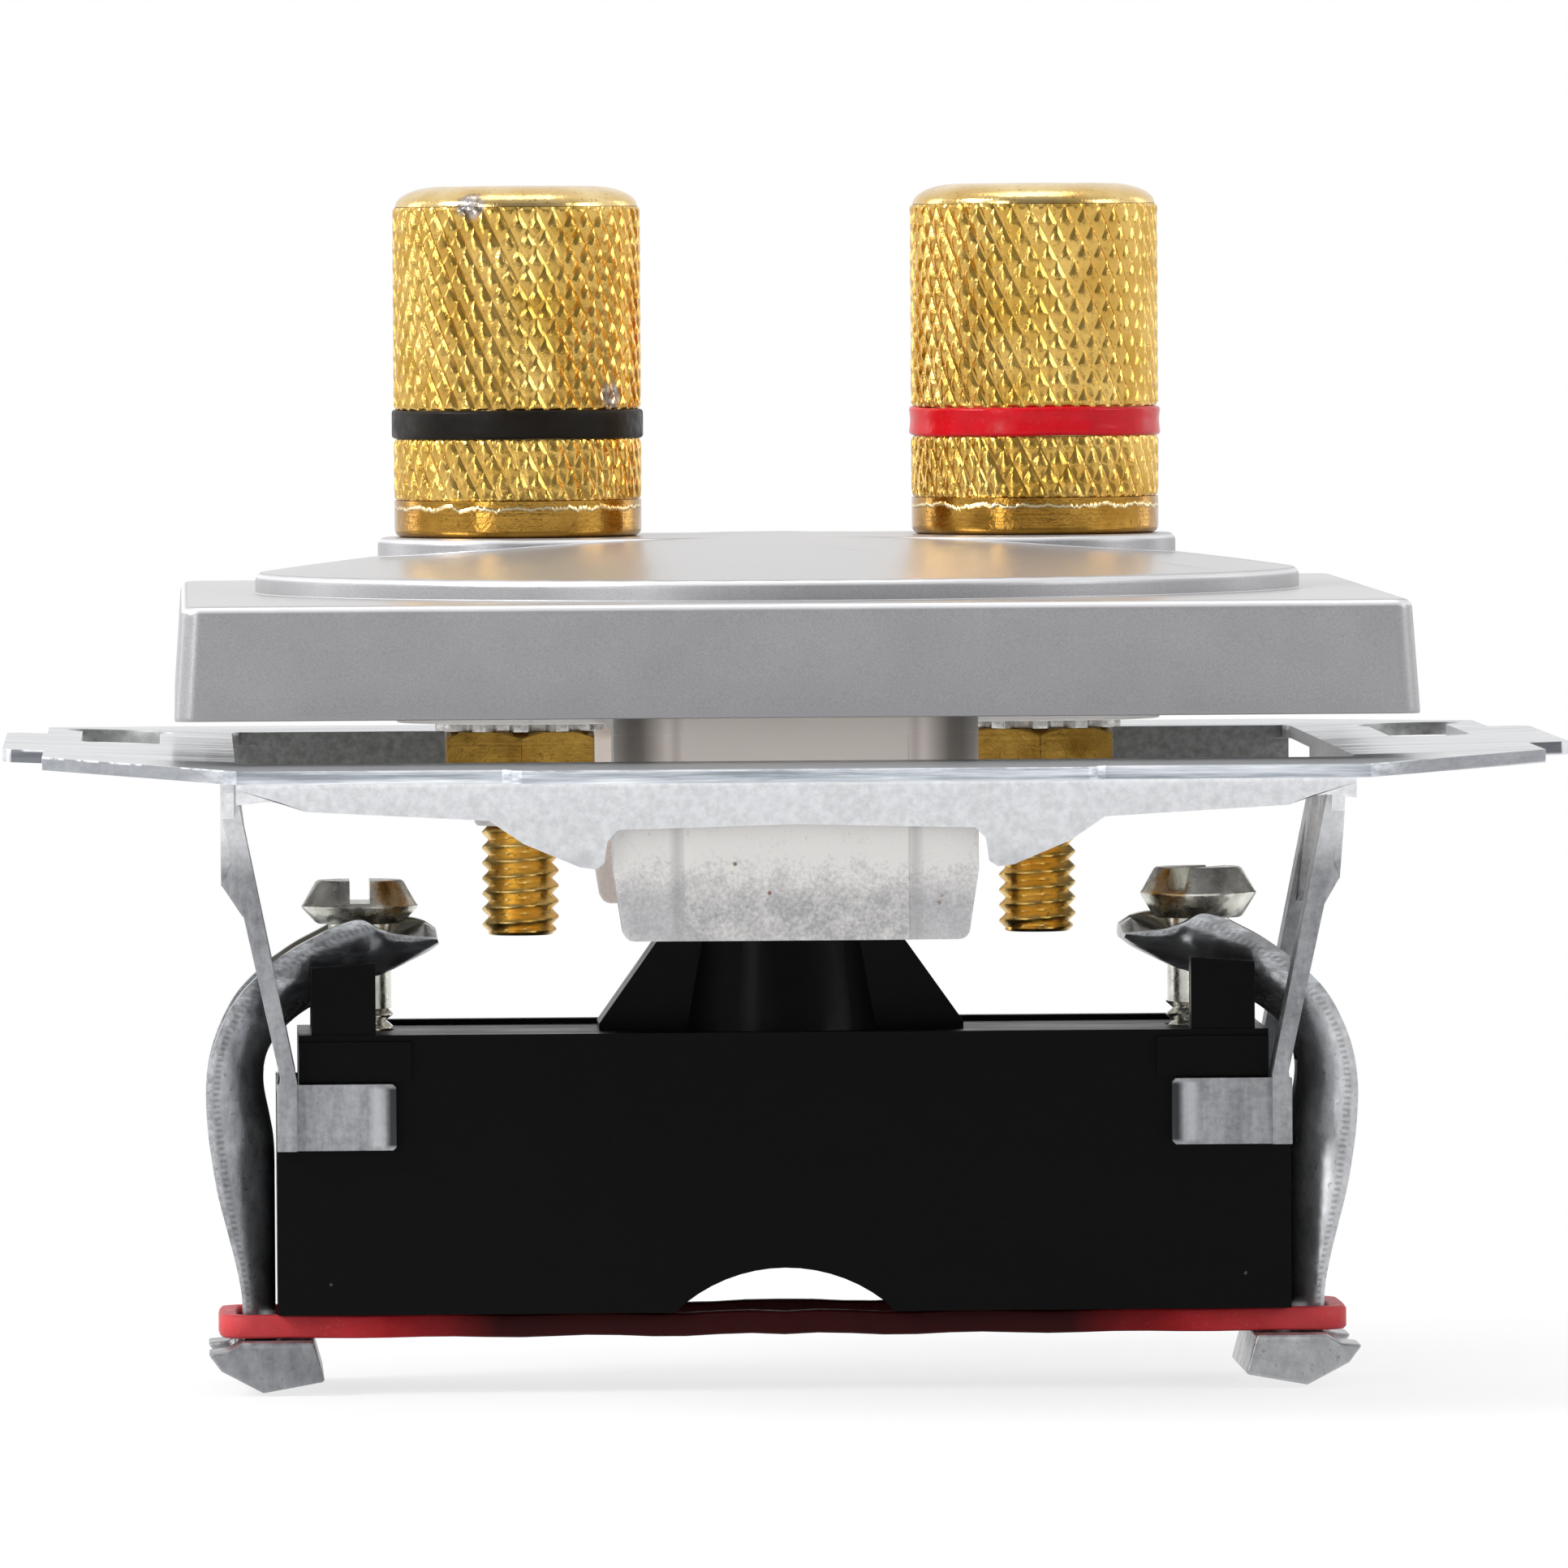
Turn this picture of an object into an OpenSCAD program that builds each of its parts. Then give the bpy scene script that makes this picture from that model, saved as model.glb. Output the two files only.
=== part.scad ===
// Loudspeaker outlet insert with two binding posts, for a 60 mm flush wall box.
// Millimetres. +Z points out of the wall, and the origin lies on the wall face, which is
// the underside of the support ring's plate, midway between the two posts.

/* [Posts] */
// Distance between the axes of the two posts
post_spacing = 23.6; // [22.4:0.1:24.2]
// Diameter over the knurling of a knob
knob_d = 11.3; // [10.8:0.1:11.5]
// Number of knurling lines in each direction
knurl_lines = 42; // [24:1:46]
// Depth of the knurling
knurl_depth = 0.2; // [0.1:0.05:0.25]
// Diameter of the threaded studs
stud_d = 3.5; // [3:0.1:3.6]
// How far the studs reach behind the wall face
stud_reach = 8; // [6.5:0.1:8]
// Width across the flats of the hexagon nuts
nut_flats = 6.75; // [6:0.05:7]

/* [Cover plate] */
// Side of the square cover plate at its back edge
cover_side = 55; // [54:0.5:56]
// Gap between the support ring and the cover plate
cover_gap = 2; // [1.6:0.1:2.2]
// Diameter of the round boss
boss_d = 47.6; // [46:0.2:50]

/* [Support ring] */
// Width over the end tabs
ring_span = 70.5; // [70:0.1:71]
// Thickness of the zinc-plated sheet
sheet = 0.6; // [0.5:0.05:0.7]
// Distance between the two wall-box screws
box_screw_spacing = 60; // [59:0.5:61]

/* [Claw carrier] */
// Width of the carrier's lower part
carrier_w = 46; // [45:0.2:46]
// Depth of the carrier from front to back
carrier_d = 11; // [10.6:0.1:11.2]

/* [Claws] */
// Width of the claw channels
claw_w = 7; // [6.6:0.1:7]
// Distance between the two claw screws
claw_screw_spacing = 38.3; // [38:0.1:38.6]
// Diameter of the claw screws
claw_screw_d = 3; // [2.8:0.1:3]

/* [Hidden] */

$fn = 64;
EPS = 0.01;
RUN = 0.05;                                  // radial clearance of a running fit

// Places along X
post_x = post_spacing / 2;
claw_screw_x = claw_screw_spacing / 2;

// Heights of the cover plate
cover_z = sheet + cover_gap;                 // back edge
cover_top = cover_z + 5.07;                  // flat of the square plate
cover_top_side = cover_side - 0.6;           // the sides taper
cover_wall = 1.5;
boss_z = cover_top + 0.95;                   // edge of the round boss
dome_z = cover_top + 2.63;                   // crown of the shallow dome
pad_z = cover_top + 2.5;                     // seat of the posts
pad_end_r = 6.4;
pocket_z = cover_top - 1.5;                  // roof of the square pocket
hub_z = cover_top - 0.5;                     // roof of the round pocket inside it

// Heights of a post, from the pad upwards
collar_r = knob_d / 2 - 0.02;
collar_h = 1.68;
knob_z = pad_z + collar_h + 0.03;
knurl_low_h = 2.75;
groove_h = 1.35;
knurl_high_h = 9.2;
crown_h = 0.97;
groove_z = knob_z + knurl_low_h;
knurl_z = groove_z + groove_h;
knob_top = knurl_z + knurl_high_h + crown_h;
groove_r = knob_d / 2 - 0.75;
shank_r = stud_d / 2 - 0.2;                  // studs, apart from their rolled lower ends
bore_r = shank_r + RUN;                      // thread bore of a knob
bore_top = knob_top - 2;
shoulder_r = 1.9;                            // how far the crown's shoulder reaches in
cross_hole_r = 1.05;                         // hole for a bare wire
cross_hole_z = pad_z + collar_h + 1.4;
stud_hole_r = stud_d / 2 + 0.1;              // clearance hole for a stud

// Behind the cover plate
spacer_z = 1.75;                             // back of the spacer's cross
spacer_leg_w = 16.2;
spacer_tongue_x = 5;                         // half the width of the tongue between the ribs
spacer_leg_y = 23.4;                         // outer face of the legs
spacer_foot_z = -7.4;
washer_h = 0.42;
washer_tooth_r = 3.85;
washer_root_r = 3.1;
nut_z = spacer_z - washer_h;                 // top of the nuts
nut_h = 2.43;
sleeve_z = nut_z - nut_h;
sleeve_h = 2.7;

// Support ring
ring_body_x = ring_span / 2 - 1.85;
ring_body_y = ring_span / 2 - 1.35;
open_x = 24.85;                              // half the opening, inside the arms
open_y = 23.9;                               // half the opening, inside the skirts
open_corner = 1.2;
skirt_x = 24.2;                              // half the length of a skirt
tab_x = 12.8;                                // half the width of the front and back tabs
tab_y = 12.5;                                // half the width of the end tabs
arm_gap = 4.3;                               // half the fork that straddles a claw
arm_y = 6.7;                                 // outer edge of the fork
foot_z = -17.5;                              // lowest edge of the arms' feet
foot_top_z = -14.5;
foot_x = 23;                                 // outer face of the feet

// Claw carrier
deck_z = -12.3;                              // flat top of the carrier
shoulder_z = -17.5;
carrier_z = -25;                             // base of the carrier
upper_w = carrier_w - 2;
ear_gap = claw_w / 2 + 0.12;                 // the ears straddle the claw channels
tower_r = 3.8;
gusset_x = 8.3;                              // half the width of the tower's gussets
claw_nut_z = -16;
claw_nut_w = 5.5;
claw_nut_h = 1.8;

// Fixing screw, in a recess under the carrier
fixing_r = 1.25;                             // thread
fixing_shank_r = 1.5;
fixing_head_r = 2.75;
fixing_head_h = 1.9;
fixing_seat_z = carrier_z + 5;
fixing_top_z = 5.2;

// Claw screws, from the claw's tongue down
head_seat_z = -7.02;
head_h = 1.9;
head_r = 2.65;
slot_w = 0.92;
screw_tip_z = -18.4;

// Claw channel
claw_sheet = 1.1;
claw_hole_r = 1.75;                          // end of the oblong hole for the screw
claw_hole_run = 3.25;                        // length of its straight part

// Elastic band
band_z = -26.1;
band_h = 1.05;
band_x = 25.65;
band_y = 4.4;
band_t = 0.85;

// ---------------------------------------------------------------- shared shapes

// Both halves of a mirrored pair, or one of them: side is -1 for left, 1 for right
module on_side(side) mirror([side < 0 ? 1 : 0, 0, 0]) children();

// An outline in the XZ plane, given depth from y0 to y1
module xz_slab(points, y0, y1)
    translate([0, y1, 0]) rotate([90, 0, 0]) linear_extrude(y1 - y0) polygon(points);

// An outline in the YZ plane, given depth from x0 to x1
module yz_slab(points, x0, x1)
    translate([x0, 0, 0]) rotate([90, 0, 90]) linear_extrude(x1 - x0) polygon(points);

// Points of an arc around c, from angle a0 to a1
function arc(c, r, a0, a1, n = 6) =
    [for (i = [0:n]) c + r * [cos(a0 + (a1 - a0) * i / n), sin(a0 + (a1 - a0) * i / n)]];

// A closed outline from its quarter in +X +Y, which starts on the X axis side
function four_ways(q) = concat(
    q,
    [for (i = [len(q) - 1:-1:0]) [-q[i][0], q[i][1]]],
    [for (p = q) [-p[0], -p[1]]],
    [for (i = [len(q) - 1:-1:0]) [q[i][0], -q[i][1]]]
);

// Rounded rectangle as one outline
function rounded_box(x, y, r, n = 6) = four_ways(arc([x - r, y - r], r, 0, 90, n));

// Height of the shallow dome above radius r
function dome_at(r) =
    let (rise = dome_z - boss_z, edge = boss_d / 2 - 0.4, big = (edge * edge + rise * rise) / (2 * rise))
    dome_z - big + sqrt(big * big - r * r);

// ---------------------------------------------------------------- cover plate

// Square body with drafted sides, rounded corners and a softly rounded front edge
module cover_body() {
    corner = 0.9;
    round_r = 0.45;
    low = cover_side / 2 - corner;
    high = cover_top_side / 2 - corner;
    hull()
        for (sx = [-1, 1], sy = [-1, 1]) {
            translate([sx * low, sy * low, cover_z]) cylinder(r = corner, h = 0.2, $fn = 32);
            translate([sx * high, sy * high, cover_top - round_r])
                rotate_extrude($fn = 32)
                    polygon(concat([[0, 0]], arc([corner - round_r, 0], round_r, 0, 90), [[0, round_r]]));
        }
}

// Round boss whose face is a shallow dome
module cover_boss() {
    edge_r = 0.4;
    rim = boss_d / 2 - edge_r;
    steps = 12;
    rotate_extrude($fn = 128)
        polygon(concat(
            [[0, pocket_z], [boss_d / 2, pocket_z]],
            arc([rim, boss_z - edge_r], edge_r, 0, 90, 4),
            [for (i = [steps - 1:-1:0]) let (r = rim * i / steps) [r, dome_at(r)]]
        ));
}

// Flat seat under both posts, with round ends
module cover_pad() {
    round_r = 0.35;
    hull()
        for (s = [-1, 1])
            translate([s * post_x, 0, pocket_z])
                rotate_extrude($fn = 64)
                    polygon(concat(
                        [[0, 0], [pad_end_r, 0]],
                        arc([pad_end_r - round_r, pad_z - pocket_z - round_r], round_r, 0, 90, 4),
                        [[0, pad_z - pocket_z]]
                    ));
}

module cover_plate() color("silver")
    difference() {
        union() {
            cover_body();
            cover_boss();
            cover_pad();
        }
        inner = cover_side / 2 - cover_wall;
        translate([0, 0, cover_z - 1])
            linear_extrude(pocket_z - cover_z + 1) polygon(rounded_box(inner, inner, 0.6));
        translate([0, 0, cover_z - 1]) cylinder(r = boss_d / 2 - 2, h = hub_z - cover_z + 1, $fn = 96);
        for (s = [-1, 1])
            translate([s * post_x, 0, cover_z]) cylinder(r = stud_hole_r, h = 12);
    }

// ---------------------------------------------------------------- spacer

// One leg of the spacer: a centre tongue between two softly rounded ribs
module spacer_leg() {
    w = spacer_leg_w / 2;
    toe = 0.5;
    side = concat(
        [[spacer_tongue_x, spacer_z + 1], [spacer_tongue_x, spacer_foot_z]],
        arc([w - 0.4 - toe, spacer_foot_z + toe], toe, -90, 0, 4),
        [[w, -4.3], [w, spacer_z + 1]]
    );
    translate([-spacer_tongue_x, -spacer_leg_y, spacer_foot_z])
        cube([2 * spacer_tongue_x, 1.8, spacer_z + 1 - spacer_foot_z]);
    for (s = [-1, 1])
        on_side(s) xz_slab(side, -spacer_leg_y + 0.1, -spacer_leg_y + 3.4);
}

module spacer() color("whitesmoke")
    difference() {
        union() {
            translate([-spacer_leg_w / 2, -spacer_leg_y, spacer_z])
                cube([spacer_leg_w, 2 * spacer_leg_y, pocket_z - spacer_z - 0.05]);
            translate([0, 0, spacer_z])
                linear_extrude(hub_z - spacer_z) polygon(rounded_box(17.4, 6.2, 5.5, 10));
            spacer_leg();
            rotate(180) spacer_leg();
        }
        for (s = [-1, 1])
            translate([s * post_x, 0, 0]) cylinder(r = stud_hole_r, h = 12);
        cylinder(r = fixing_r, h = fixing_top_z + 0.2);
    }

// ---------------------------------------------------------------- support ring

// Lower edge of a front or back skirt with its two guide ears, from the middle to one end
function skirt_edge() = [
    [0, -2.2], [7.9, -2.4], [8.4, -2.9], [8.54, -3.9], [8.9, -4.13], [9.6, -4.05],
    [12.1, -3.0], [13.65, -1.95], [21.8, -1.5], [22.9, -1.1], [23.5, -1.05], [skirt_x, -1.2]
];

module ring_skirt() {
    right = skirt_edge();
    left = [for (i = [len(right) - 1:-1:1]) [-right[i][0], right[i][1]]];
    xz_slab(concat([[skirt_x, EPS], [-skirt_x, EPS]], left, right), -open_y - sheet, -open_y);
    // rounded bend into the plate
    bend = 0.5;
    reach = sheet + bend;
    translate([-skirt_x, -open_y, 0]) rotate([90, 0, 90])
        linear_extrude(2 * skirt_x)
            polygon(concat([[0, 0], [0, sheet], [-reach, sheet], [-reach, 0]], arc([-reach, -bend], bend, 90, 0, 4)));
}

// One fork of an arm, in front of the claw: a strip that leans in to the carrier
module arm_strip() {
    strip = [
        [open_x, -0.2], [24.65, -1.7], [22.1, -14.3], [22.1, foot_z], [foot_x - 0.3, foot_z], [foot_x, -17.2],
        [foot_x, -15.4], [22.85, -14.2], [24.4, -7.1], [25.1, -4.0], [open_x + sheet, -1.9], [open_x + sheet, -0.2]
    ];
    xz_slab(strip, -arm_y, -arm_gap);
}

// Web that folds from the fork strip to the arm's middle
module arm_web() {
    hull() {
        xz_slab([[24.6, -1.2], [25.2, -1.2], [24.5, -6.9], [23.9, -6.9]], -arm_gap - 0.6, -arm_gap);
        xz_slab([[24.85, -0.6], [25.45, -0.6], [25.4, -5.6], [24.8, -5.6]], -3.2, -3.0);
    }
}

// Foot bent round the carrier's face
module arm_foot() {
    back = carrier_d / 2;
    outline = [
        [17.6, -14.65], [17.75, foot_top_z], [foot_x, foot_top_z], [foot_x, -17.2], [foot_x - 0.3, foot_z],
        [17.75, foot_z], [17.6, -17.35]
    ];
    xz_slab(outline, -back - sheet, -back);
    yz_slab([[-arm_y, foot_top_z], [-arm_y, foot_z], [-back, foot_z], [-back, foot_top_z]], foot_x - sheet, foot_x);
}

module ring_arm() {
    root = [[-9, 0.3], [-9, -0.4], [-7.4, -1.2], [-arm_y, -2.4], [-arm_y + 0.6, -3], [-3, -5.6],
            [3, -5.6], [arm_y - 0.6, -3], [arm_y, -2.4], [7.4, -1.2], [9, -0.4], [9, 0.3]];
    yz_slab(root, open_x, open_x + sheet);
    for (m = [0, 1])
        mirror([0, m, 0]) {
            arm_strip();
            arm_web();
            arm_foot();
        }
}

// Outline of the plate: octagon with one shallow tab on each side
function ring_outline() = four_ways([
    [ring_span / 2, tab_y - 0.9], [ring_span / 2 - 0.4, tab_y], [ring_body_x, tab_y], [ring_body_x, 22.2],
    [24, ring_body_y], [tab_x + 0.4, ring_body_y], [tab_x, ring_body_y + 0.3],
    [tab_x, ring_span / 2 - 0.4], [tab_x - 0.4, ring_span / 2]
]);

module ring_plate() {
    narrow = 1.8;
    wide = 2.5;
    slot_y = 3;
    slot_run = 16.5;
    difference() {
        linear_extrude(sheet) polygon(ring_outline());
        translate([0, 0, -1])
            linear_extrude(3) polygon(rounded_box(open_x, open_y, open_corner));
        for (s = [-1, 1])
            translate([s * box_screw_spacing / 2, slot_y, -1]) {
                cylinder(r = narrow, h = 3);
                translate([-narrow, 0, 0]) cube([2 * narrow, slot_run, 3]);
                translate([0, slot_run, 0]) cylinder(r = wide, h = 3);
            }
    }
}

module support_ring() color("gainsboro") {
    ring_plate();
    ring_skirt();
    rotate(180) ring_skirt();
    ring_arm();
    mirror([1, 0, 0]) ring_arm();
}

// ---------------------------------------------------------------- claw carrier

// Front outline of the block, with the arch under its middle
function carrier_outline() =
    let (w = carrier_w / 2, u = upper_w / 2, arch_w = 5.03, arch_h = 2, arch_r = (arch_w * arch_w + arch_h * arch_h) / (2 * arch_h),
         half = asin(arch_w / arch_r))
    concat(
        [[w, carrier_z], [w, shoulder_z], [u, shoulder_z], [u, deck_z], [-u, deck_z], [-u, shoulder_z],
         [-w, shoulder_z], [-w, carrier_z]],
        arc([0, carrier_z + arch_h - arch_r], arch_r, 90 + half, 90 - half, 16)
    );

// Tower to the spacer: a tapering boss between two gussets
module carrier_tower() {
    cone_top_z = -5.65;
    side = [[gusset_x, deck_z - 1], [gusset_x, deck_z + 0.3], [5.75, -8.4], [tower_r - 0.2, cone_top_z]];
    translate([0, 0, deck_z - 1]) cylinder(r1 = 5, r2 = tower_r, h = cone_top_z - deck_z + 1);
    translate([0, 0, deck_z]) cylinder(r = tower_r, h = spacer_z - deck_z);
    xz_slab(concat(side, [for (i = [len(side) - 1:-1:0]) [-side[i][0], side[i][1]]]), -2.2, 2.2);
}

// Ears and pads on one side of the carrier
module carrier_side() {
    half = carrier_d / 2;
    for (m = [0, 1])
        mirror([0, m, 0]) {
            xz_slab([[18.5, deck_z - 1], [21.4, deck_z - 1], [21.4, -9.25], [18.5, -9.05]], -half + 0.1, -ear_gap);
            // pad above the foot of the arm
            xz_slab([[16.9, -14.4], [22.0, -14.4], [22.0, -12.6], [16.9, -12.6]], -half - 0.2, -half + 1);
        }
}

module claw_carrier() color("#1b1b1d")
    difference() {
        union() {
            xz_slab(carrier_outline(), -carrier_d / 2, carrier_d / 2);
            // raised rib along the back edge of the deck
            translate([-18.4, carrier_d / 2 - 0.8, deck_z - 1]) cube([36.8, 0.8, 1.25]);
            carrier_tower();
            for (s = [-1, 1]) on_side(s) carrier_side();
        }
        for (s = [-1, 1])
            translate([s * claw_screw_x, 0, 0]) {
                translate([0, 0, -20]) cylinder(d = claw_screw_d + 0.16, h = 12);
                // slot that holds the square nut, open to the back
                translate([-claw_nut_w / 2 - RUN, -claw_nut_w / 2 - RUN, claw_nut_z - RUN])
                    cube([claw_nut_w + 2 * RUN, carrier_d, claw_nut_h + 2 * RUN]);
            }
        // stepped hole of the fixing screw
        translate([0, 0, carrier_z - 1]) cylinder(r = fixing_head_r + 0.35, h = fixing_seat_z - carrier_z + 1);
        translate([0, 0, carrier_z]) cylinder(r = fixing_shank_r + 0.1, h = 40);
    }

// ---------------------------------------------------------------- posts

// Fixed part of a post: the collar that sits on the pad, and the stud above and below it
module post(side) color("goldenrod") {
    stud_top = bore_top - 1;
    lower_top = sleeve_z - sleeve_h - 0.1;
    translate([side * post_x, 0, 0])
        difference() {
            union() {
                rotate_extrude()
                    polygon(concat(
                        [[0, pad_z]],
                        arc([collar_r - 0.35, pad_z + 0.35], 0.35, -90, 0, 4),
                        [[collar_r, pad_z + collar_h], [0, pad_z + collar_h]]
                    ));
                rotate_extrude($fn = 48)
                    polygon([
                        [0, -stud_reach], [stud_d / 2 - 0.45, -stud_reach], [stud_d / 2, -stud_reach + 0.5],
                        [stud_d / 2, lower_top], [shank_r, lower_top],
                        [shank_r, stud_top - 0.5], [shank_r - 0.45, stud_top], [0, stud_top]
                    ]);
            }
            // cross hole for the bare wire, hidden by the closed knob
            translate([0, 0, cross_hole_z]) rotate([90, 0, 0])
                cylinder(r = cross_hole_r, h = 6, center = true, $fn = 32);
        }
}

// Radius of a knob at each level, from its foot to its crown: [height, radius, knurled, phase]
function knob_levels() =
    let (r = knob_d / 2, low_rows = 4, high_rows = 12, low_z = knob_z + 0.1, high_z = knurl_z + 0.1,
         lip = 0.12, crown_z = knurl_z + knurl_high_h + lip)
    concat(
        [[knob_z, r - 0.25, 0, 0]],
        [for (j = [0:low_rows]) [low_z + (knurl_low_h - 0.2) * j / low_rows, r, 1, j]],
        [[groove_z, r - 0.2, 0, 0], [groove_z, groove_r, 0, 0], [knurl_z, groove_r, 0, 0], [knurl_z, r - 0.25, 0, 0]],
        [for (j = [0:high_rows]) [high_z + (knurl_high_h - 0.1) * j / high_rows, r, 1, j]],
        [for (a = [0:22.5:90])
            [crown_z + (crown_h - lip) * sin(a), r - lip - shoulder_r * (1 - cos(a)), 0, 0]]
    );

// Turned and knurled outside of a knob as one closed skin. Ridges and valleys of the diamond
// knurling alternate round the knob and up it, and each quad is split along its valley line.
module knob_skin() {
    columns = 2 * knurl_lines;
    levels = knob_levels();
    rows = len(levels);
    function deep(level, i) = level[2] == 1 && (i + level[3]) % 2 == 1;
    points = [
        for (level = levels, i = [0:columns - 1])
            let (r = level[1] - (deep(level, i) ? knurl_depth : 0), a = 360 * i / columns)
            [r * cos(a), r * sin(a), level[0]]
    ];
    function at(j, i) = j * columns + i % columns;
    sides = [
        for (j = [0:rows - 2], i = [0:columns - 1])
            let (a = at(j, i), b = at(j, i + 1), c = at(j + 1, i + 1), d = at(j + 1, i))
            each deep(levels[j], i) || deep(levels[j + 1], i + 1)
                ? [[a, c, b], [a, d, c]]
                : [[a, d, b], [b, d, c]]
    ];
    polyhedron(
        points = points,
        faces = concat(
            [[for (i = [0:columns - 1]) at(0, i)]],
            sides,
            [[for (i = [columns - 1:-1:0]) at(rows - 1, i)]]
        )
    );
}

module knob(side) color("gold")
    translate([side * post_x, 0, 0])
        difference() {
            knob_skin();
            translate([0, 0, knob_z - 1]) cylinder(r = bore_r, h = bore_top - knob_z + 1, $fn = 48);
        }

// Plastic ring in the knob's groove
module colour_ring(side, shade) color(shade)
    translate([side * post_x, 0, groove_z + 0.02])
        difference() {
            cylinder(r = knob_d / 2 + 0.08, h = groove_h - 0.04, $fn = 96);
            translate([0, 0, -1]) cylinder(r = groove_r + RUN, h = 4, $fn = 96);
        }

module toothed_washer(side) color("lightgray") {
    teeth = 12;
    outline = [
        for (i = [0:teeth - 1], t = [[-9, washer_root_r], [-5, washer_tooth_r], [5, washer_tooth_r], [9, washer_root_r]])
            t[1] * [cos(360 * i / teeth + t[0]), sin(360 * i / teeth + t[0])]
    ];
    translate([side * post_x, 0, nut_z])
        difference() {
            linear_extrude(washer_h) polygon(outline);
            translate([0, 0, -1]) cylinder(r = stud_hole_r, h = 3);
        }
}

// Hexagon nut with a corner to the front and chamfered corners
module nut(side) color("goldenrod")
    translate([side * post_x, 0, nut_z - nut_h])
        difference() {
            intersection() {
                rotate(30) cylinder(d = nut_flats / cos(30), h = nut_h, $fn = 6);
                corner_r = nut_flats / 2 / cos(30);
                rotate_extrude()
                    polygon([[0, 0], [corner_r - 0.45, 0], [corner_r, 0.3], [corner_r, nut_h - 0.3],
                             [corner_r - 0.45, nut_h], [0, nut_h]]);
            }
            translate([0, 0, -1]) cylinder(r = bore_r, h = nut_h + 2, $fn = 48);
        }

// Nylon sleeve that follows the nut down the stud
module stud_sleeve(side) color("whitesmoke")
    translate([side * post_x, 0, 0])
        rotate_extrude()
            polygon([[bore_r, sleeve_z - sleeve_h], [2.0, sleeve_z - sleeve_h], [2.4, sleeve_z - sleeve_h + 1],
                     [2.4, sleeve_z], [bore_r, sleeve_z]]);

// ---------------------------------------------------------------- claws

// Outer edge of the claw's side walls, from the tongue down to the foot
function claw_back() = [
    [19.14, -7.14], [21.1, -7.95], [22.3, -8.5], [23.5, -9.4],
    [24.7, -10.6], [25.5, -12.0], [26.0, -13.45], [26.2, -15.0], [26.15, -16.5], [26.0, -17.8],
    [25.7, -19.6], [25.3, -21.2], [24.75, -23.5], [24.6, -24.7], [24.6, -26.3]
];

// Face of the claw's web towards the carrier, from the foot up to the tongue
function claw_front() = [
    [23.1, -26.3], [23.1, -17.0], [23.4, -15.8], [23.6, -14.8], [23.6, -13.9], [23.2, -12.9],
    [22.1, -11.75], [20.9, -11.0], [17.6, -9.5], [16.0, -8.7], [15.55, -8.3]
];

// Hollow of the channel, which is open on the outer side
function claw_hollow() =
    let (f = claw_front(), n = len(f))
    concat(
        [for (i = [1:n - 2])
            let (d = (f[i + 1] - f[i - 1]) / norm(f[i + 1] - f[i - 1]))
            f[i] + claw_sheet * [d[1], -d[0]]],
        [[15.9, -6.5], [20.0, -5.5], [27.5, -10.0], [27.5, -25.2], [23.1 + claw_sheet, -25.2]]
    );

// Foot with two teeth that bite into the box wall
module claw_foot() {
    foot_w = 5.7;
    side = [[24.6, -26.2], [25.3, -26.6], [26.2, -26.7], [25.6, -27.5], [23.7, -28.5], [20.9, -28.0], [21.4, -26.2]];
    difference() {
        xz_slab(side, -foot_w, foot_w);
        // notch between the two teeth
        translate([24.9, -2.2, -27.6]) cube([3, 4.4, 2]);
    }
}

// Channel of pressed sheet with its web towards the carrier and its tongue under the screw head
module claw(side) color("darkgray")
    on_side(side)
        difference() {
            union() {
                difference() {
                    xz_slab(concat(claw_back(), claw_front(), [[15.6, -8.0], [17.4, -8.0]]), -claw_w / 2, claw_w / 2);
                    xz_slab(claw_hollow(), -claw_w / 2 + claw_sheet, claw_w / 2 - claw_sheet);
                }
                // back wall runs on to the end of the tongue
                xz_slab([[15.6, -8.05], [16.2, -7.28], [19.2, -7.14], [19.2, -8.3], [16.2, -8.5]],
                        claw_w / 2 - claw_sheet, claw_w / 2);
                claw_foot();
            }
            // oblong hole that lets the claw swing past its screw
            translate([claw_screw_x, 0, -14]) cylinder(r = claw_hole_r, h = 10, $fn = 48);
            translate([claw_screw_x, -claw_hole_r, -14]) cube([claw_hole_run, 2 * claw_hole_r, 10]);
        }

module claw_screw(side) color("silver")
    translate([side * claw_screw_x, 0, 0]) {
        head_top = head_seat_z + head_h;
        difference() {
            rotate_extrude()
                polygon([
                    [0, screw_tip_z], [claw_screw_d / 2 - 0.4, screw_tip_z], [claw_screw_d / 2, screw_tip_z + 0.5],
                    [claw_screw_d / 2, head_seat_z], [head_r - 0.5, head_seat_z], [head_r, head_top - 1.2],
                    [head_r - 0.7, head_top], [0, head_top]
                ]);
            rotate(side > 0 ? 62 : 90)
                translate([-4, -slot_w / 2, head_top - 1]) cube([8, slot_w, 2]);
        }
    }

// Square nut held in the carrier
module claw_nut(side) color("silver")
    translate([side * claw_screw_x, 0, claw_nut_z])
        difference() {
            translate([-claw_nut_w / 2, -claw_nut_w / 2, 0]) cube([claw_nut_w, claw_nut_w, claw_nut_h]);
            translate([0, 0, -1]) cylinder(d = claw_screw_d + 2 * RUN, h = 4, $fn = 48);
        }

// Screw that draws the carrier against the spacer, from below
module fixing_screw() color("silver")
    translate([0, 0, fixing_seat_z])
        difference() {
            union() {
                cylinder(r = fixing_r, h = fixing_top_z - fixing_seat_z);
                cylinder(r = fixing_shank_r, h = spacer_z - 0.3 - fixing_seat_z);
                translate([0, 0, -fixing_head_h]) cylinder(r = fixing_head_r, h = fixing_head_h);
            }
            translate([-4, -0.4, -fixing_head_h - 0.1]) cube([8, 0.8, 1]);
        }

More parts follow.
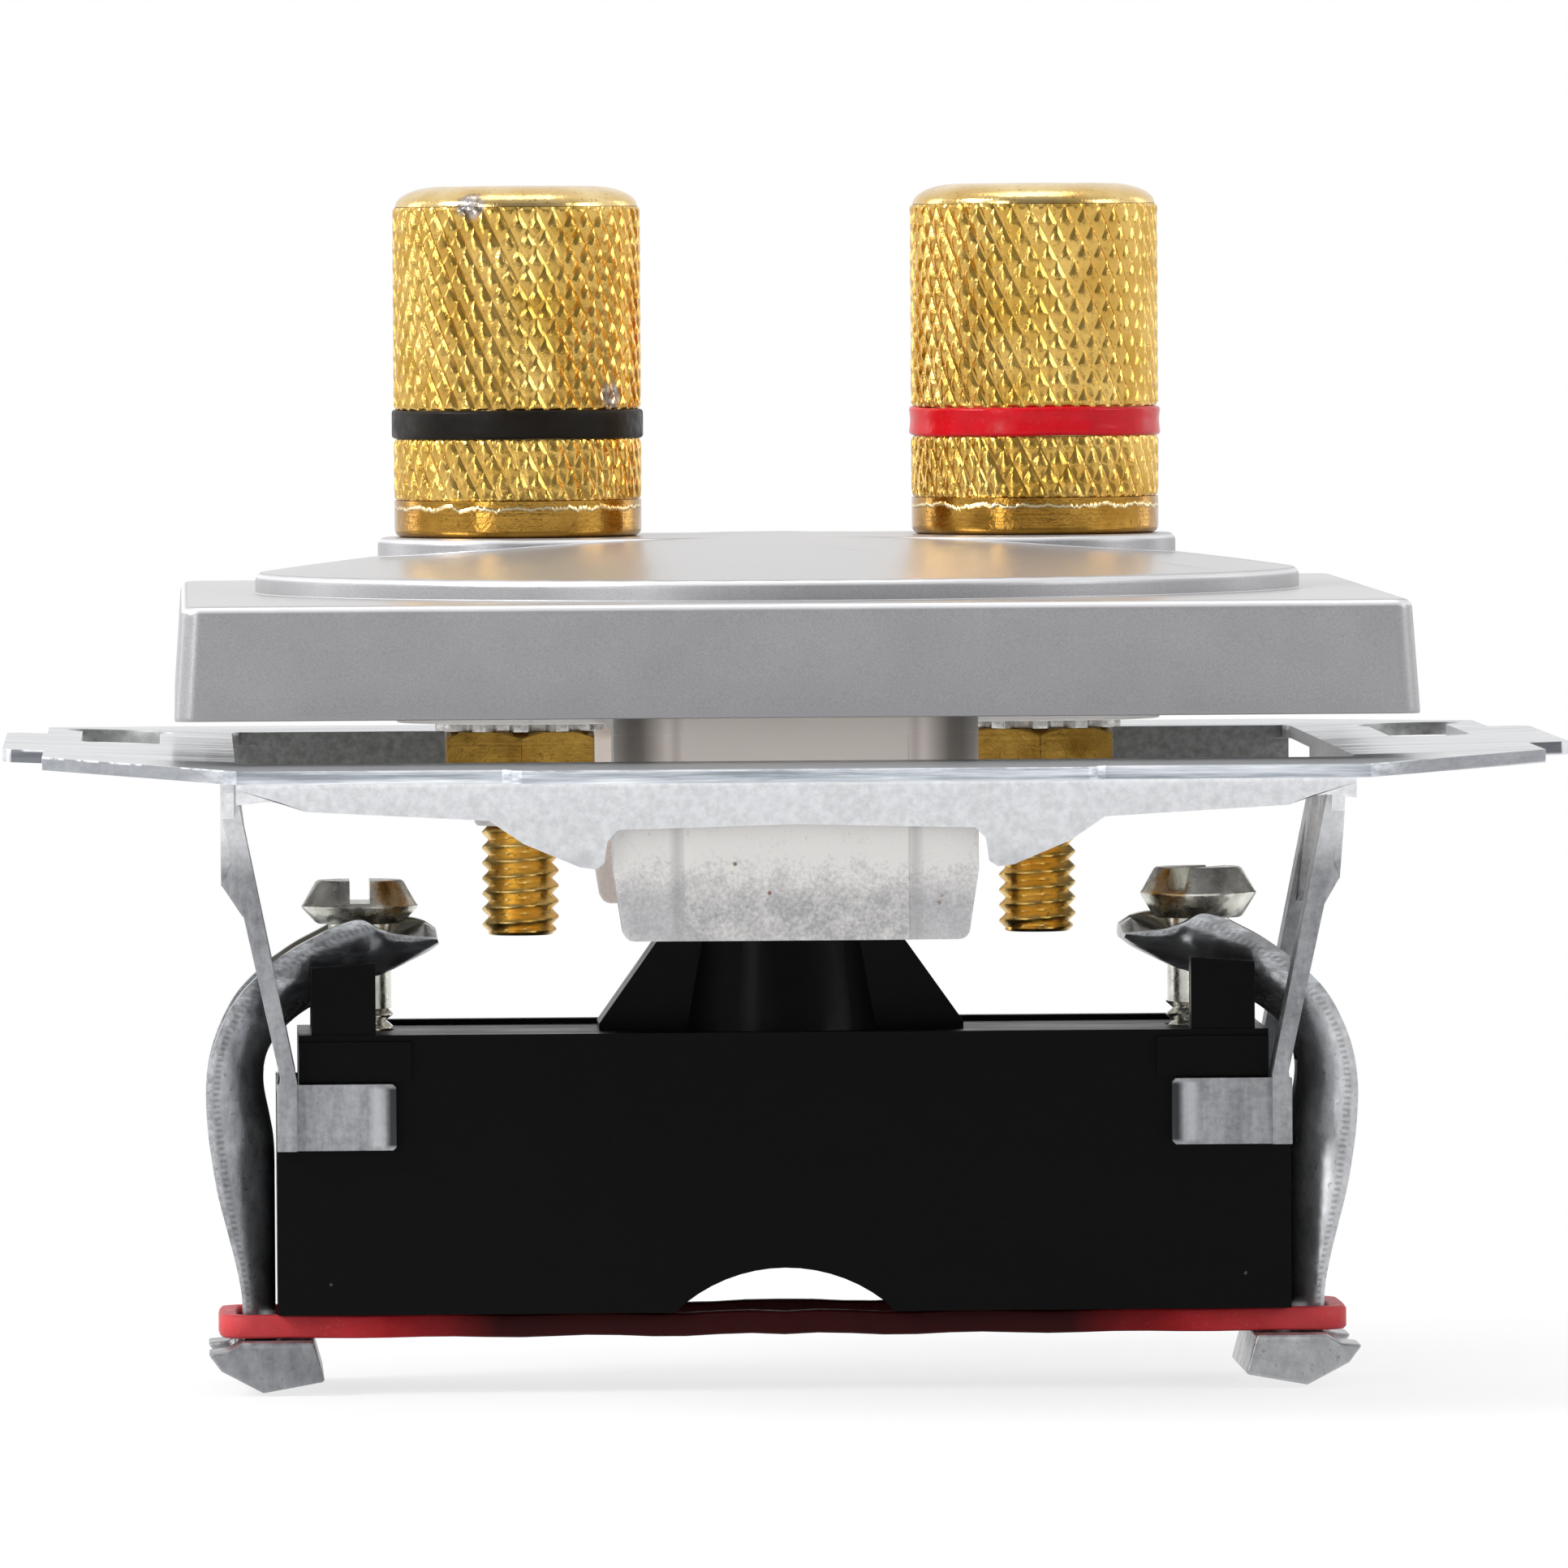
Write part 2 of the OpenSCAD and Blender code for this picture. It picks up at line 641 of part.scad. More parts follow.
module elastic_band() color("crimson")
    translate([0, 0, band_z])
        difference() {
            linear_extrude(band_h) polygon(rounded_box(band_x, band_y, 1.6));
            translate([0, 0, -1])
                linear_extrude(band_h + 2) polygon(rounded_box(band_x - band_t, band_y - band_t, 0.2));
        }

cover_plate();
spacer();
support_ring();
claw_carrier();
fixing_screw();
post(-1);  // post_black
post(1);  // post_red
knob(-1);  // knob_black
knob(1);  // knob_red
colour_ring(-1, "#18181a");  // colour_ring_black
colour_ring(1, "#d51525");  // colour_ring_red
toothed_washer(-1);  // toothed_washer_black
toothed_washer(1);  // toothed_washer_red
nut(-1);  // nut_black
nut(1);  // nut_red
stud_sleeve(-1);  // stud_sleeve_black
stud_sleeve(1);  // stud_sleeve_red
claw(-1);  // claw_left
claw(1);  // claw_right
claw_screw(-1);  // claw_screw_left
claw_screw(1);  // claw_screw_right
claw_nut(-1);  // claw_nut_left
claw_nut(1);  // claw_nut_right
elastic_band();
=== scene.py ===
"""Dresses the loudspeaker outlet insert: knurled gold posts, satin silver cover, zinc-plated
support ring, black claw carrier, pressed steel claws and a red elastic band."""

import math

import bpy
from mathutils import Matrix, Vector


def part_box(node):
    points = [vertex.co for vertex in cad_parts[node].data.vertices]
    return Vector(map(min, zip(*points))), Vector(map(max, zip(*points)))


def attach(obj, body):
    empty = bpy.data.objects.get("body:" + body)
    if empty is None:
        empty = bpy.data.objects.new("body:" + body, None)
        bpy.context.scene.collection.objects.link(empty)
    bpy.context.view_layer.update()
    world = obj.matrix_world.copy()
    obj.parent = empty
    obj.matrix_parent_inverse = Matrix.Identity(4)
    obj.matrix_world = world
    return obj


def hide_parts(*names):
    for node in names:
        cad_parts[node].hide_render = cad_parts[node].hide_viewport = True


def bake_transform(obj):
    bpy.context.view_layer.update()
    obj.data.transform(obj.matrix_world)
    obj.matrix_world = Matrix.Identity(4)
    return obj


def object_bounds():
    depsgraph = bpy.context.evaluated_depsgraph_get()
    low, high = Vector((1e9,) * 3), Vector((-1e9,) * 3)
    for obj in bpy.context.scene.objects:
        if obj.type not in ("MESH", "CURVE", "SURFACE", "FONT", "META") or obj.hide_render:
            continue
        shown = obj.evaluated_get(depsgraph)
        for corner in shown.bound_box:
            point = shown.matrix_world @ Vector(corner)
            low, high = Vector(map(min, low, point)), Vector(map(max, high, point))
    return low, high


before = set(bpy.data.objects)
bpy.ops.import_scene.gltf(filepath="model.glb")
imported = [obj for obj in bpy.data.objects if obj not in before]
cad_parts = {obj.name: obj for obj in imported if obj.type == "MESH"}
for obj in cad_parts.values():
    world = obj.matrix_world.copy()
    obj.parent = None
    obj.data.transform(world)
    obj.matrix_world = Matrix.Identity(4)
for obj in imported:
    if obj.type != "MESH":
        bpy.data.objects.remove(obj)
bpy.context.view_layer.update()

MM = 0.001
POST_X = sum(c.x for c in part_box("knob_red")) / 2
KNOB_R = (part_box("knob_red")[1].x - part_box("knob_red")[0].x) / 2
POSTS = {"black": -POST_X, "red": POST_X}


# ---------------------------------------------------------------- camera, light and floor

def aim(obj, target, roll=0.0):
    """Turns a camera or lamp at a point, with its top up."""
    look = (Vector(target) - obj.location).to_track_quat("-Z", "Y")
    obj.rotation_euler = (look.to_matrix() @ Matrix.Rotation(roll, 3, "Z")).to_euler()


def make_camera():
    """Long lens from the front, a little above and a little to the left."""
    yaw, pitch, roll = math.radians(1.94), math.radians(1.88), math.radians(-0.35)
    distance = 812 * MM
    target = Vector((0.26, 0.0, -1.22)) * MM
    forward = Vector((math.sin(yaw) * math.cos(pitch), math.cos(yaw) * math.cos(pitch), -math.sin(pitch)))
    camera = bpy.data.objects.new("camera", bpy.data.cameras.new("camera"))
    bpy.context.collection.objects.link(camera)
    camera.data.sensor_width = 36
    camera.data.lens = 408.5
    camera.data.clip_start = 0.05
    camera.data.clip_end = 20
    camera.location = target - forward * distance
    aim(camera, target, roll)
    bpy.context.scene.camera = camera


def soft_box(name, place, size, power):
    """Rectangular soft light that faces the object."""
    lamp = bpy.data.lights.new(name, "AREA")
    lamp.shape = "RECTANGLE"
    lamp.size, lamp.size_y = size
    lamp.energy = power
    obj = bpy.data.objects.new(name, lamp)
    bpy.context.collection.objects.link(obj)
    obj.location = place
    aim(obj, (0, 0, 0))


def make_world():
    """White to the eye, and a soft grey as a light and in reflections from the front."""
    world = bpy.data.worlds.new("studio")
    bpy.context.scene.world = world
    world.use_nodes = True
    nodes, links = world.node_tree.nodes, world.node_tree.links
    nodes.clear()
    path = nodes.new("ShaderNodeLightPath")
    dim = nodes.new("ShaderNodeBackground")
    dim.inputs["Color"].default_value = (1, 1, 1, 1)
    dim.inputs["Strength"].default_value = WORLD_LIGHT
    white = nodes.new("ShaderNodeBackground")
    white.inputs["Color"].default_value = (1, 1, 1, 1)
    white.inputs["Strength"].default_value = 1.0
    # reflections: white behind and below the object, darker towards the camera's side
    place = nodes.new("ShaderNodeTexCoord")
    split = nodes.new("ShaderNodeSeparateXYZ")
    links.new(place.outputs["Generated"], split.inputs[0])
    ramp = nodes.new("ShaderNodeValToRGB")
    ramp.color_ramp.elements[0].position = 0.0
    ramp.color_ramp.elements[0].color = (0.22, 0.22, 0.225, 1)
    ramp.color_ramp.elements[1].position = 0.62
    ramp.color_ramp.elements[1].color = (1, 1, 1, 1)
    shift = nodes.new("ShaderNodeMath")
    shift.operation = "MULTIPLY_ADD"
    shift.inputs[1].default_value = 0.5
    shift.inputs[2].default_value = 0.5
    links.new(split.outputs["Y"], shift.inputs[0])
    links.new(shift.outputs[0], ramp.inputs[0])
    mirror = nodes.new("ShaderNodeBackground")
    links.new(ramp.outputs[0], mirror.inputs["Color"])
    mirror.inputs["Strength"].default_value = 1.0
    seen = nodes.new("ShaderNodeMath")
    seen.operation = "MAXIMUM"
    links.new(path.outputs["Is Camera Ray"], seen.inputs[0])
    links.new(path.outputs["Is Transmission Ray"], seen.inputs[1])
    first = nodes.new("ShaderNodeMixShader")
    links.new(path.outputs["Is Glossy Ray"], first.inputs[0])
    links.new(dim.outputs[0], first.inputs[1])
    links.new(mirror.outputs[0], first.inputs[2])
    second = nodes.new("ShaderNodeMixShader")
    links.new(seen.outputs[0], second.inputs[0])
    links.new(first.outputs[0], second.inputs[1])
    links.new(white.outputs[0], second.inputs[2])
    out = nodes.new("ShaderNodeOutputWorld")
    links.new(second.outputs[0], out.inputs[0])


def make_floor():
    """Pale floor under the claws' feet."""
    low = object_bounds()[0].z
    bpy.ops.mesh.primitive_plane_add(size=6, location=(0, 0, low - 0.15 * MM))
    floor = bpy.context.object
    floor.name = "floor"
    mat = bpy.data.materials.new("floor")
    mat.use_nodes = True
    nodes, links = mat.node_tree.nodes, mat.node_tree.links
    nodes.clear()
    matt = nodes.new("ShaderNodeBsdfDiffuse")
    matt.inputs["Color"].default_value = (0.93, 0.93, 0.93, 1)
    glow = nodes.new("ShaderNodeEmission")
    glow.inputs["Color"].default_value = (1, 1, 1, 1)
    glow.inputs["Strength"].default_value = 1.0
    path = nodes.new("ShaderNodeLightPath")
    seen = nodes.new("ShaderNodeMath")
    seen.operation = "MAXIMUM"
    links.new(path.outputs["Is Camera Ray"], seen.inputs[0])
    links.new(path.outputs["Is Glossy Ray"], seen.inputs[1])
    # white all round, and matt enough near the object to keep its shadow
    place = nodes.new("ShaderNodeTexCoord")
    away = nodes.new("ShaderNodeVectorMath")
    away.operation = "LENGTH"
    links.new(place.outputs["Object"], away.inputs[0])
    fade = nodes.new("ShaderNodeMapRange")
    fade.inputs["From Min"].default_value = 0.045
    fade.inputs["From Max"].default_value = 0.11
    fade.inputs["To Min"].default_value = FLOOR_GLOW
    fade.inputs["To Max"].default_value = 1.0
    links.new(away.outputs["Value"], fade.inputs["Value"])
    share = nodes.new("ShaderNodeMath")
    share.operation = "MULTIPLY"
    links.new(seen.outputs[0], share.inputs[0])
    links.new(fade.outputs[0], share.inputs[1])
    blend = nodes.new("ShaderNodeMixShader")
    links.new(share.outputs[0], blend.inputs[0])
    links.new(matt.outputs[0], blend.inputs[1])
    links.new(glow.outputs[0], blend.inputs[2])
    out = nodes.new("ShaderNodeOutputMaterial")
    links.new(blend.outputs[0], out.inputs[0])
    floor.data.materials.append(mat)


WORLD_LIGHT = 0.72
FLOOR_GLOW = 0.75
make_camera()
make_world()
soft_box("key", (-0.75, -0.28, 0.6), (0.35, 0.35), 7)
soft_box("fill", (0.8, -0.28, 0.35), (0.4, 0.4), 1.8)
soft_box("front", (-0.48, -0.70, 0.22), (0.12, 0.45), 1.3)
soft_box("left strip", (-0.75, 0.38, 0.1), (0.2, 0.8), 1.3)
soft_box("right strip", (0.75, 0.5, 0.1), (0.2, 0.8), 0.7)
soft_box("top", (0.0, 0.1, 0.8), (0.5, 0.4), 1.5)
bpy.context.scene.view_settings.view_transform = "Standard"


# ---------------------------------------------------------------- materials

OPEN = 99  # further out than any value a band is made from


class Look:
    """A Principled material on Object coordinates, with a few short-hand nodes."""

    def __init__(self, name, colour, metallic, roughness):
        self.mat = bpy.data.materials.new(name)
        self.mat.use_nodes = True
        self.nodes, self.links = self.mat.node_tree.nodes, self.mat.node_tree.links
        self.shader = self.nodes["Principled BSDF"]
        self.shader.inputs["Base Color"].default_value = (*colour, 1)
        self.shader.inputs["Metallic"].default_value = metallic
        self.shader.inputs["Roughness"].default_value = roughness
        self.place = self.nodes.new("ShaderNodeTexCoord").outputs["Object"]
        self.height = None

    def put(self, value, socket):
        if hasattr(value, "is_linked"):
            self.links.new(value, socket)
        elif isinstance(value, (tuple, list)):
            alpha = (1,) if len(value) == 3 and len(socket.default_value) == 4 else ()
            socket.default_value = (*value, *alpha)
        else:
            socket.default_value = value

    def mapped(self, stretch=(1, 1, 1), offset=(0, 0, 0)):
        """The place in millimetres, stretched and moved."""
        mapping = self.nodes.new("ShaderNodeMapping")
        mapping.inputs["Scale"].default_value = [s / MM for s in stretch]
        mapping.inputs["Location"].default_value = offset
        self.links.new(self.place, mapping.inputs[0])
        return mapping.outputs[0]

    def noise(self, scale, detail=3.0, rough=0.55, stretch=(1, 1, 1), offset=(0, 0, 0)):
        """Noise from 0 to 1, with features about 1 / scale millimetres wide."""
        node = self.nodes.new("ShaderNodeTexNoise")
        node.inputs["Scale"].default_value = scale
        node.inputs["Detail"].default_value = detail
        node.inputs["Roughness"].default_value = rough
        self.links.new(self.mapped(stretch, offset), node.inputs["Vector"])
        return node.outputs["Fac"]

    def cells(self, scale):
        """Distance to the nearest of many scattered points."""
        node = self.nodes.new("ShaderNodeTexVoronoi")
        node.inputs["Scale"].default_value = scale
        self.links.new(self.mapped(), node.inputs["Vector"])
        return node.outputs["Distance"]

    def axis(self, name):
        """One Object coordinate, in millimetres."""
        split = self.nodes.new("ShaderNodeSeparateXYZ")
        self.links.new(self.place, split.inputs[0])
        return self.times(split.outputs[name], 1 / MM)

    def attribute(self, name):
        """One number stored on the mesh's points."""
        node = self.nodes.new("ShaderNodeAttribute")
        node.attribute_name = name
        return node.outputs["Fac"]

    def facing(self, name):
        """One component of the surface's direction, from -1 to 1."""
        split = self.nodes.new("ShaderNodeSeparateXYZ")
        self.links.new(self.nodes.new("ShaderNodeNewGeometry").outputs["Normal"], split.inputs[0])
        return split.outputs[name]

    def across(self):
        """Distance to either side of the middle, in millimetres."""
        return self.calc("ABSOLUTE", self.axis("X"))

    def calc(self, operation, a, b=0.0, c=0.0):
        """Any one step of arithmetic."""
        node = self.nodes.new("ShaderNodeMath")
        node.operation = operation
        for value, socket in zip((a, b, c), node.inputs):
            self.put(value, socket)
        return node.outputs[0]

    def times(self, a, b):
        return self.calc("MULTIPLY", a, b)

    def ramp(self, value, *stops):
        """Grey ramp through (position, level) stops."""
        node = self.nodes.new("ShaderNodeValToRGB")
        elements = node.color_ramp.elements
        while len(elements) < len(stops):
            elements.new(0.5)
        for element, (position, level) in zip(elements, stops):
            element.position = position
            element.color = (level, level, level, 1) if not isinstance(level, tuple) else (*level, 1)
        self.put(value, node.inputs[0])
        return node.outputs[0]

    def band(self, value, low, high, soft):
        """1 where value lies between low and high, with soft edges; OPEN leaves an end open."""
        up = self.nodes.new("ShaderNodeMapRange")
        down = self.nodes.new("ShaderNodeMapRange")
        for node, (a, b) in ((up, (low, low + soft)), (down, (high, high - soft))):
            node.inputs["From Min"].default_value = a
            node.inputs["From Max"].default_value = b
            self.put(value, node.inputs["Value"])
        return self.times(up.outputs[0], down.outputs[0])

    def spot(self, centre, radius, soft):
        """1 inside a ball of so many millimetres, fading over soft, with a ragged edge."""
        node = self.nodes.new("ShaderNodeVectorMath")
        node.operation = "DISTANCE"
        self.links.new(self.place, node.inputs[0])
        node.inputs[1].default_value = [c * MM for c in centre]
        away = self.times(node.outputs["Value"], 1 / MM)
        away = self.calc("MULTIPLY_ADD", self.noise(2.2), radius * 0.9, away)
        return self.band(away, -OPEN, radius * 1.45 + soft, soft)

    def mix(self, share, a, b):
        node = self.nodes.new("ShaderNodeMix")
        node.data_type = "RGBA"
        self.put(share, node.inputs["Factor"])
        self.put(a, node.inputs["A"])
        self.put(b, node.inputs["B"])
        return node.outputs["Result"]

    def colour(self, value):
        self.put(value, self.shader.inputs["Base Color"])

    def rough(self, value):
        self.put(value, self.shader.inputs["Roughness"])

    def bump(self, height, distance, strength=1.0):
        """Adds a layer of relief, distance in millimetres."""
        node = self.nodes.new("ShaderNodeBump")
        node.inputs["Strength"].default_value = strength
        node.inputs["Distance"].default_value = distance * MM
        self.links.new(height, node.inputs["Height"])
        if self.height is not None:
            self.links.new(self.height, node.inputs["Normal"])
        self.height = node.outputs[0]
        self.links.new(self.height, self.shader.inputs["Normal"])


def gold_look(name, deep, pale, rough, worn=()):
    look = Look(name, pale, 1.0, rough)
    tone = look.ramp(look.noise(0.45, 4), (0.3, 0.0), (0.7, 1.0))
    base = look.mix(tone, deep, pale)
    # tarnish gathers in small specks
    specks = look.ramp(look.noise(4.5, 2, 0.5, offset=(3, 1, 2)), (0.62, 0.0), (0.72, 0.55))
    base = look.mix(specks, base, tuple(0.45 * c for c in deep))
    level = look.ramp(look.noise(1.6, 3), (0.25, rough * 0.7), (0.75, rough * 1.5))
    for centre, radius in worn:
        bare = look.spot(centre, radius, 0.3)
        stained = look.ramp(look.noise(2.5, 3), (0.42, (0.22, 0.17, 0.13)), (0.58, (0.50, 0.50, 0.52)))
        base = look.mix(look.times(bare, 0.85), base, stained)
    look.colour(base)
    look.rough(level)
    look.bump(look.noise(7, 3), 0.012)
    look.bump(look.noise(1.1, 2), 0.03)
    return look


def turned_look(name, deep, pale, rough, worn=()):
    """Lathe-turned gold: fine rings round the axis."""
    look = gold_look(name, deep, pale, rough, worn)
    look.bump(look.noise(1.0, 2, stretch=(0.05, 0.05, 9)), 0.012, 0.6)
    return look


def collar_look():
    """Darker turned gold with a ragged bright burr under its top edge."""
    look = turned_look("collar gold", (0.30, 0.145, 0.022), (0.56, 0.31, 0.06), 0.13)
    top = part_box("knob_red")[0].z / MM
    waves = look.calc("MULTIPLY_ADD", look.noise(0.9, 3, 0.65, stretch=(1, 1, 0.3)), 0.8, look.axis("Z"))
    burr = look.band(waves, top - 0.1, top + 0.12, 0.1)
    plain = look.shader.inputs["Base Color"].links[0].from_socket
    look.colour(look.mix(look.times(burr, 0.85), plain, (0.98, 0.84, 0.50)))
    look.bump(burr, 0.05, 0.8)
    return look


def cover_look():
    """Silver-grey paint with a fine metallic grain."""
    look = Look("cover paint", (0.33, 0.33, 0.345), 0.55, 0.42)
    fine = look.noise(12.0, 2, 0.6)
    grain = look.ramp(fine, (0.3, (0.31, 0.305, 0.316)), (0.7, (0.385, 0.38, 0.39)))
    flakes = look.ramp(look.cells(6.5), (0.05, 1.0), (0.2, 0.0))
    base = look.mix(look.times(flakes, 0.14), grain, (0.6, 0.6, 0.61))
    # painted highlight on the rounded edges, and painted light on the faces that look up
    edge = look.band(look.facing("Z"), 0.28, 0.94, 0.2)
    painted_roof_light = look.band(look.facing("Z"), 0.93, OPEN, 0.04)
    base = look.mix(look.times(edge, 0.8), base, (0.74, 0.74, 0.76))
    base = look.mix(look.times(painted_roof_light, 0.8), base, (0.48, 0.475, 0.48))
    look.colour(base)
    satin = look.ramp(look.noise(0.35, 2), (0.3, 0.34), (0.7, 0.44))
    look.rough(look.mix(painted_roof_light, satin, (0.29, 0.29, 0.29)))
    look.bump(fine, 0.007, 0.6)
    look.bump(look.noise(0.8, 2), 0.02, 0.5)
    return look


def zinc_look(name, light, dark, rough, inner):
    """Zinc plating with a mottled grain, bright rolled edges and painted shade on the faces on the inside."""
    look = Look(name, light, 0.7, rough)
    look.shader.inputs["Specular Tint"].default_value = (0.66, 0.67, 0.69, 1)
    mottle = look.ramp(look.noise(2.6, 5, 0.7), (0.36, 0.0), (0.62, 1.0))
    base = look.mix(mottle, dark, light)
    across = look.across()
    # the flat sheet is brighter rolled metal, streaked along its length, and dull at its front, where it is also
    # painted darker as a dark reflection
    flat = look.band(look.facing("Z"), 0.8, OPEN, 0.1)
    streaks = look.ramp(look.noise(0.5, 4, 0.6, stretch=(0.15, 0.8, 1)),
                        (0.3, (0.50, 0.52, 0.535)), (0.7, (0.72, 0.74, 0.755)))
    dull_and_dark_reflection = look.times(look.band(across, -OPEN, 29, 3), look.band(look.axis("Y"), -OPEN, -21, 1))
    streaks = look.mix(look.times(dull_and_dark_reflection, 0.7), streaks, (0.34, 0.35, 0.36))
    base = look.mix(flat, base, streaks)
    # sheared front edge: blue-grey stripes under a burr line painted bright as a highlight, rising with the sheet's
    # bent ends
    past_bend = look.calc("MAXIMUM", look.calc("SUBTRACT", across, 24.0), 0.0)
    height = look.calc("MULTIPLY_ADD", past_bend, -0.036, look.axis("Z"))
    edge = look.times(look.band(height, -0.12, 0.66, 0.1), look.band(look.axis("Y"), -OPEN, -8, 1))
    stripes = look.ramp(look.noise(0.9, 4, 0.7, stretch=(0.12, 1, 3.5)),
                        (0.36, (0.32, 0.35, 0.39)), (0.52, (0.62, 0.66, 0.71)), (0.66, (0.92, 0.95, 0.98)))
    far = look.band(across, 24, OPEN, 3)
    stripes = look.mix(look.times(far, 0.85), stripes, (0.10, 0.105, 0.12))
    base = look.mix(look.times(edge, look.band(look.facing("Y"), -OPEN, -0.35, 0.3)), base, stripes)
    # painted highlight: near-white flecks along the top of the cut edge
    flecks = look.ramp(look.noise(1.0, 3, 0.7, stretch=(0.4, 1, 1)), (0.46, 0.0), (0.54, 0.8))
    burr = look.times(look.band(height, 0.5, 0.7, 0.06), flecks)
    base = look.mix(look.times(burr, look.band(look.facing("Y"), -OPEN, -0.3, 0.2)), base, (0.95, 0.97, 1.0))
    # painted shade: faces that look to the front from behind the opening, and the slots' front walls, are painted dark
    back = look.times(look.band(look.axis("Y"), 10, OPEN, 4), look.band(look.facing("Y"), -OPEN, -0.4, 0.3))
    slots = look.times(look.band(across, 27.4, 33, 0.1), 0.8)
    back = look.times(back, look.calc("MAXIMUM", look.band(across, -OPEN, 25.5, 0.5), slots))
    painted_shade_inside = look.mix(mottle, tuple(inner * c for c in (0.62, 0.65, 0.62)), (inner, inner * 1.02, inner))
    base = look.mix(back, base, painted_shade_inside)
    # the arms and feet are greyer, and painted darker than the flat sheet as shade
    low = look.times(look.band(height, -OPEN, -3.2, 2.0), 0.93)
    drawn = look.ramp(look.noise(0.9, 4, 0.65, stretch=(1.6, 1, 0.25)),
                      (0.34, (0.16, 0.165, 0.175)), (0.62, (0.42, 0.43, 0.45)))
    greyer = look.mix(mottle, (0.20, 0.205, 0.215), (0.40, 0.41, 0.43))
    base = look.mix(low, base, look.mix(0.5, drawn, greyer))
    # painted shade and highlight where the feet bend round: a bright strip beside a dark one
    feet = look.times(look.band(height, -17.4, -14.6, 0.15), look.band(look.axis("Y"), -OPEN, -5.7, 0.1))
    painted_bend_shade = look.band(across, 17.3, 18.15, 0.3)
    painted_bend_highlight = look.times(look.band(across, 18.0, 18.9, 0.35), 0.6)
    base = look.mix(look.times(feet, painted_bend_shade), base, (0.045, 0.048, 0.052))
    base = look.mix(look.times(feet, painted_bend_highlight), base, (0.62, 0.64, 0.66))
    look.colour(base)
    satin = look.ramp(look.noise(2.4, 4), (0.3, rough * 0.8), (0.7, rough * 1.4))
    polished = look.ramp(look.noise(0.6, 3, stretch=(0.2, 1, 1)), (0.3, 0.10), (0.7, 0.2))
    polished = look.mix(dull_and_dark_reflection, polished, (0.38, 0.38, 0.38))
    look.rough(look.mix(flat, satin, polished))
    look.bump(look.noise(4.2, 3, 0.5), 0.008, 0.7)
    look.bump(look.noise(0.35, 2), 0.04, 0.5)
    return look


def claw_look(name, light, dark):
    """Dull pressed steel, drawn over a former: bright at its cut edges, with painted shade making it nearly black on
    the inner side.
    """
    look = Look(name, light, 0.85, 0.34)
    mottle = look.ramp(look.noise(0.8, 5, 0.7, stretch=(1.3, 1, 0.6)), (0.33, 0.0), (0.66, 1.0))
    base = look.mix(mottle, dark, light)
    foot = look.times(look.band(look.axis("Z"), -OPEN, -26.2, 0.3), 0.55)
    base = look.mix(foot, base, look.mix(0.5, (0.10, 0.098, 0.10), dark))
    # painted shade: darker across the roll towards the web, as on a lit cylinder
    roll = look.attribute("roll")
    shade = look.band(roll, 1.5, OPEN, 0.48)
    base = look.mix(look.times(shade, 0.85), base, tuple(0.3 * c for c in dark))
    cut = look.band(roll, 0.93, 1.07, 0.03)
    speckle = look.ramp(look.noise(3.0, 3, 0.7),
                        (0.38, tuple(0.7 * c for c in light)), (0.6, (0.72, 0.73, 0.75)))
    base = look.mix(look.times(cut, 0.8), base, speckle)
    # fine teeth left by the tool along the cut edge
    ticks = look.calc("PINGPONG", look.calc("DIVIDE", look.attribute("along"), 0.14), 1.0)
    teeth = look.times(look.band(roll, 1.05, 1.14, 0.03), look.band(ticks, 0.4, OPEN, 0.25))
    base = look.mix(look.times(teeth, 0.36), base, (0.05, 0.05, 0.055))
    # the tongue under the screw's head is smoother, with dark and bright glints
    tongue = look.band(look.axis("Z"), -12.6, OPEN, 2.6)
    glints = look.ramp(look.noise(0.8, 4, 0.7, stretch=(0.5, 1, 1.6)),
                       (0.46, (0.05, 0.054, 0.06)), (0.64, (0.52, 0.55, 0.58)))
    base = look.mix(look.times(tongue, 0.6), base, glints)
    pits = look.ramp(look.noise(3.4, 3, 0.6, offset=(5, 2, 7)), (0.62, 0.0), (0.70, 0.5))
    base = look.mix(pits, base, tuple(0.5 * c for c in dark))
    # raw khaki steel inside the tongue, under the screw's head
    raw = look.times(look.band(look.attribute("inner"), 0.5, OPEN, 0.2),
                     look.band(look.axis("Z"), -9.6, OPEN, 0.8))
    base = look.mix(look.times(raw, 0.85), base, (0.23, 0.215, 0.16))
    look.colour(base)
    look.rough(look.mix(tongue, look.ramp(look.noise(1.4, 4), (0.3, 0.26), (0.72, 0.46)), (0.22, 0.22, 0.22)))
    look.bump(look.noise(2.0, 4, 0.6), 0.025, 0.7)
    look.bump(look.noise(0.5, 2), 0.10, 0.5)
    return look


# (x, z, radius) of the brown specks on the spacer's front, in millimetres
NYLON_SPECKS = ((-2.72, -3.98, 0.05), (-1.2, -5.28, 0.06), (6.33, -5.75, 0.10), (6.45, -5.45, 0.08), (6.28, -6.6, 0.04))


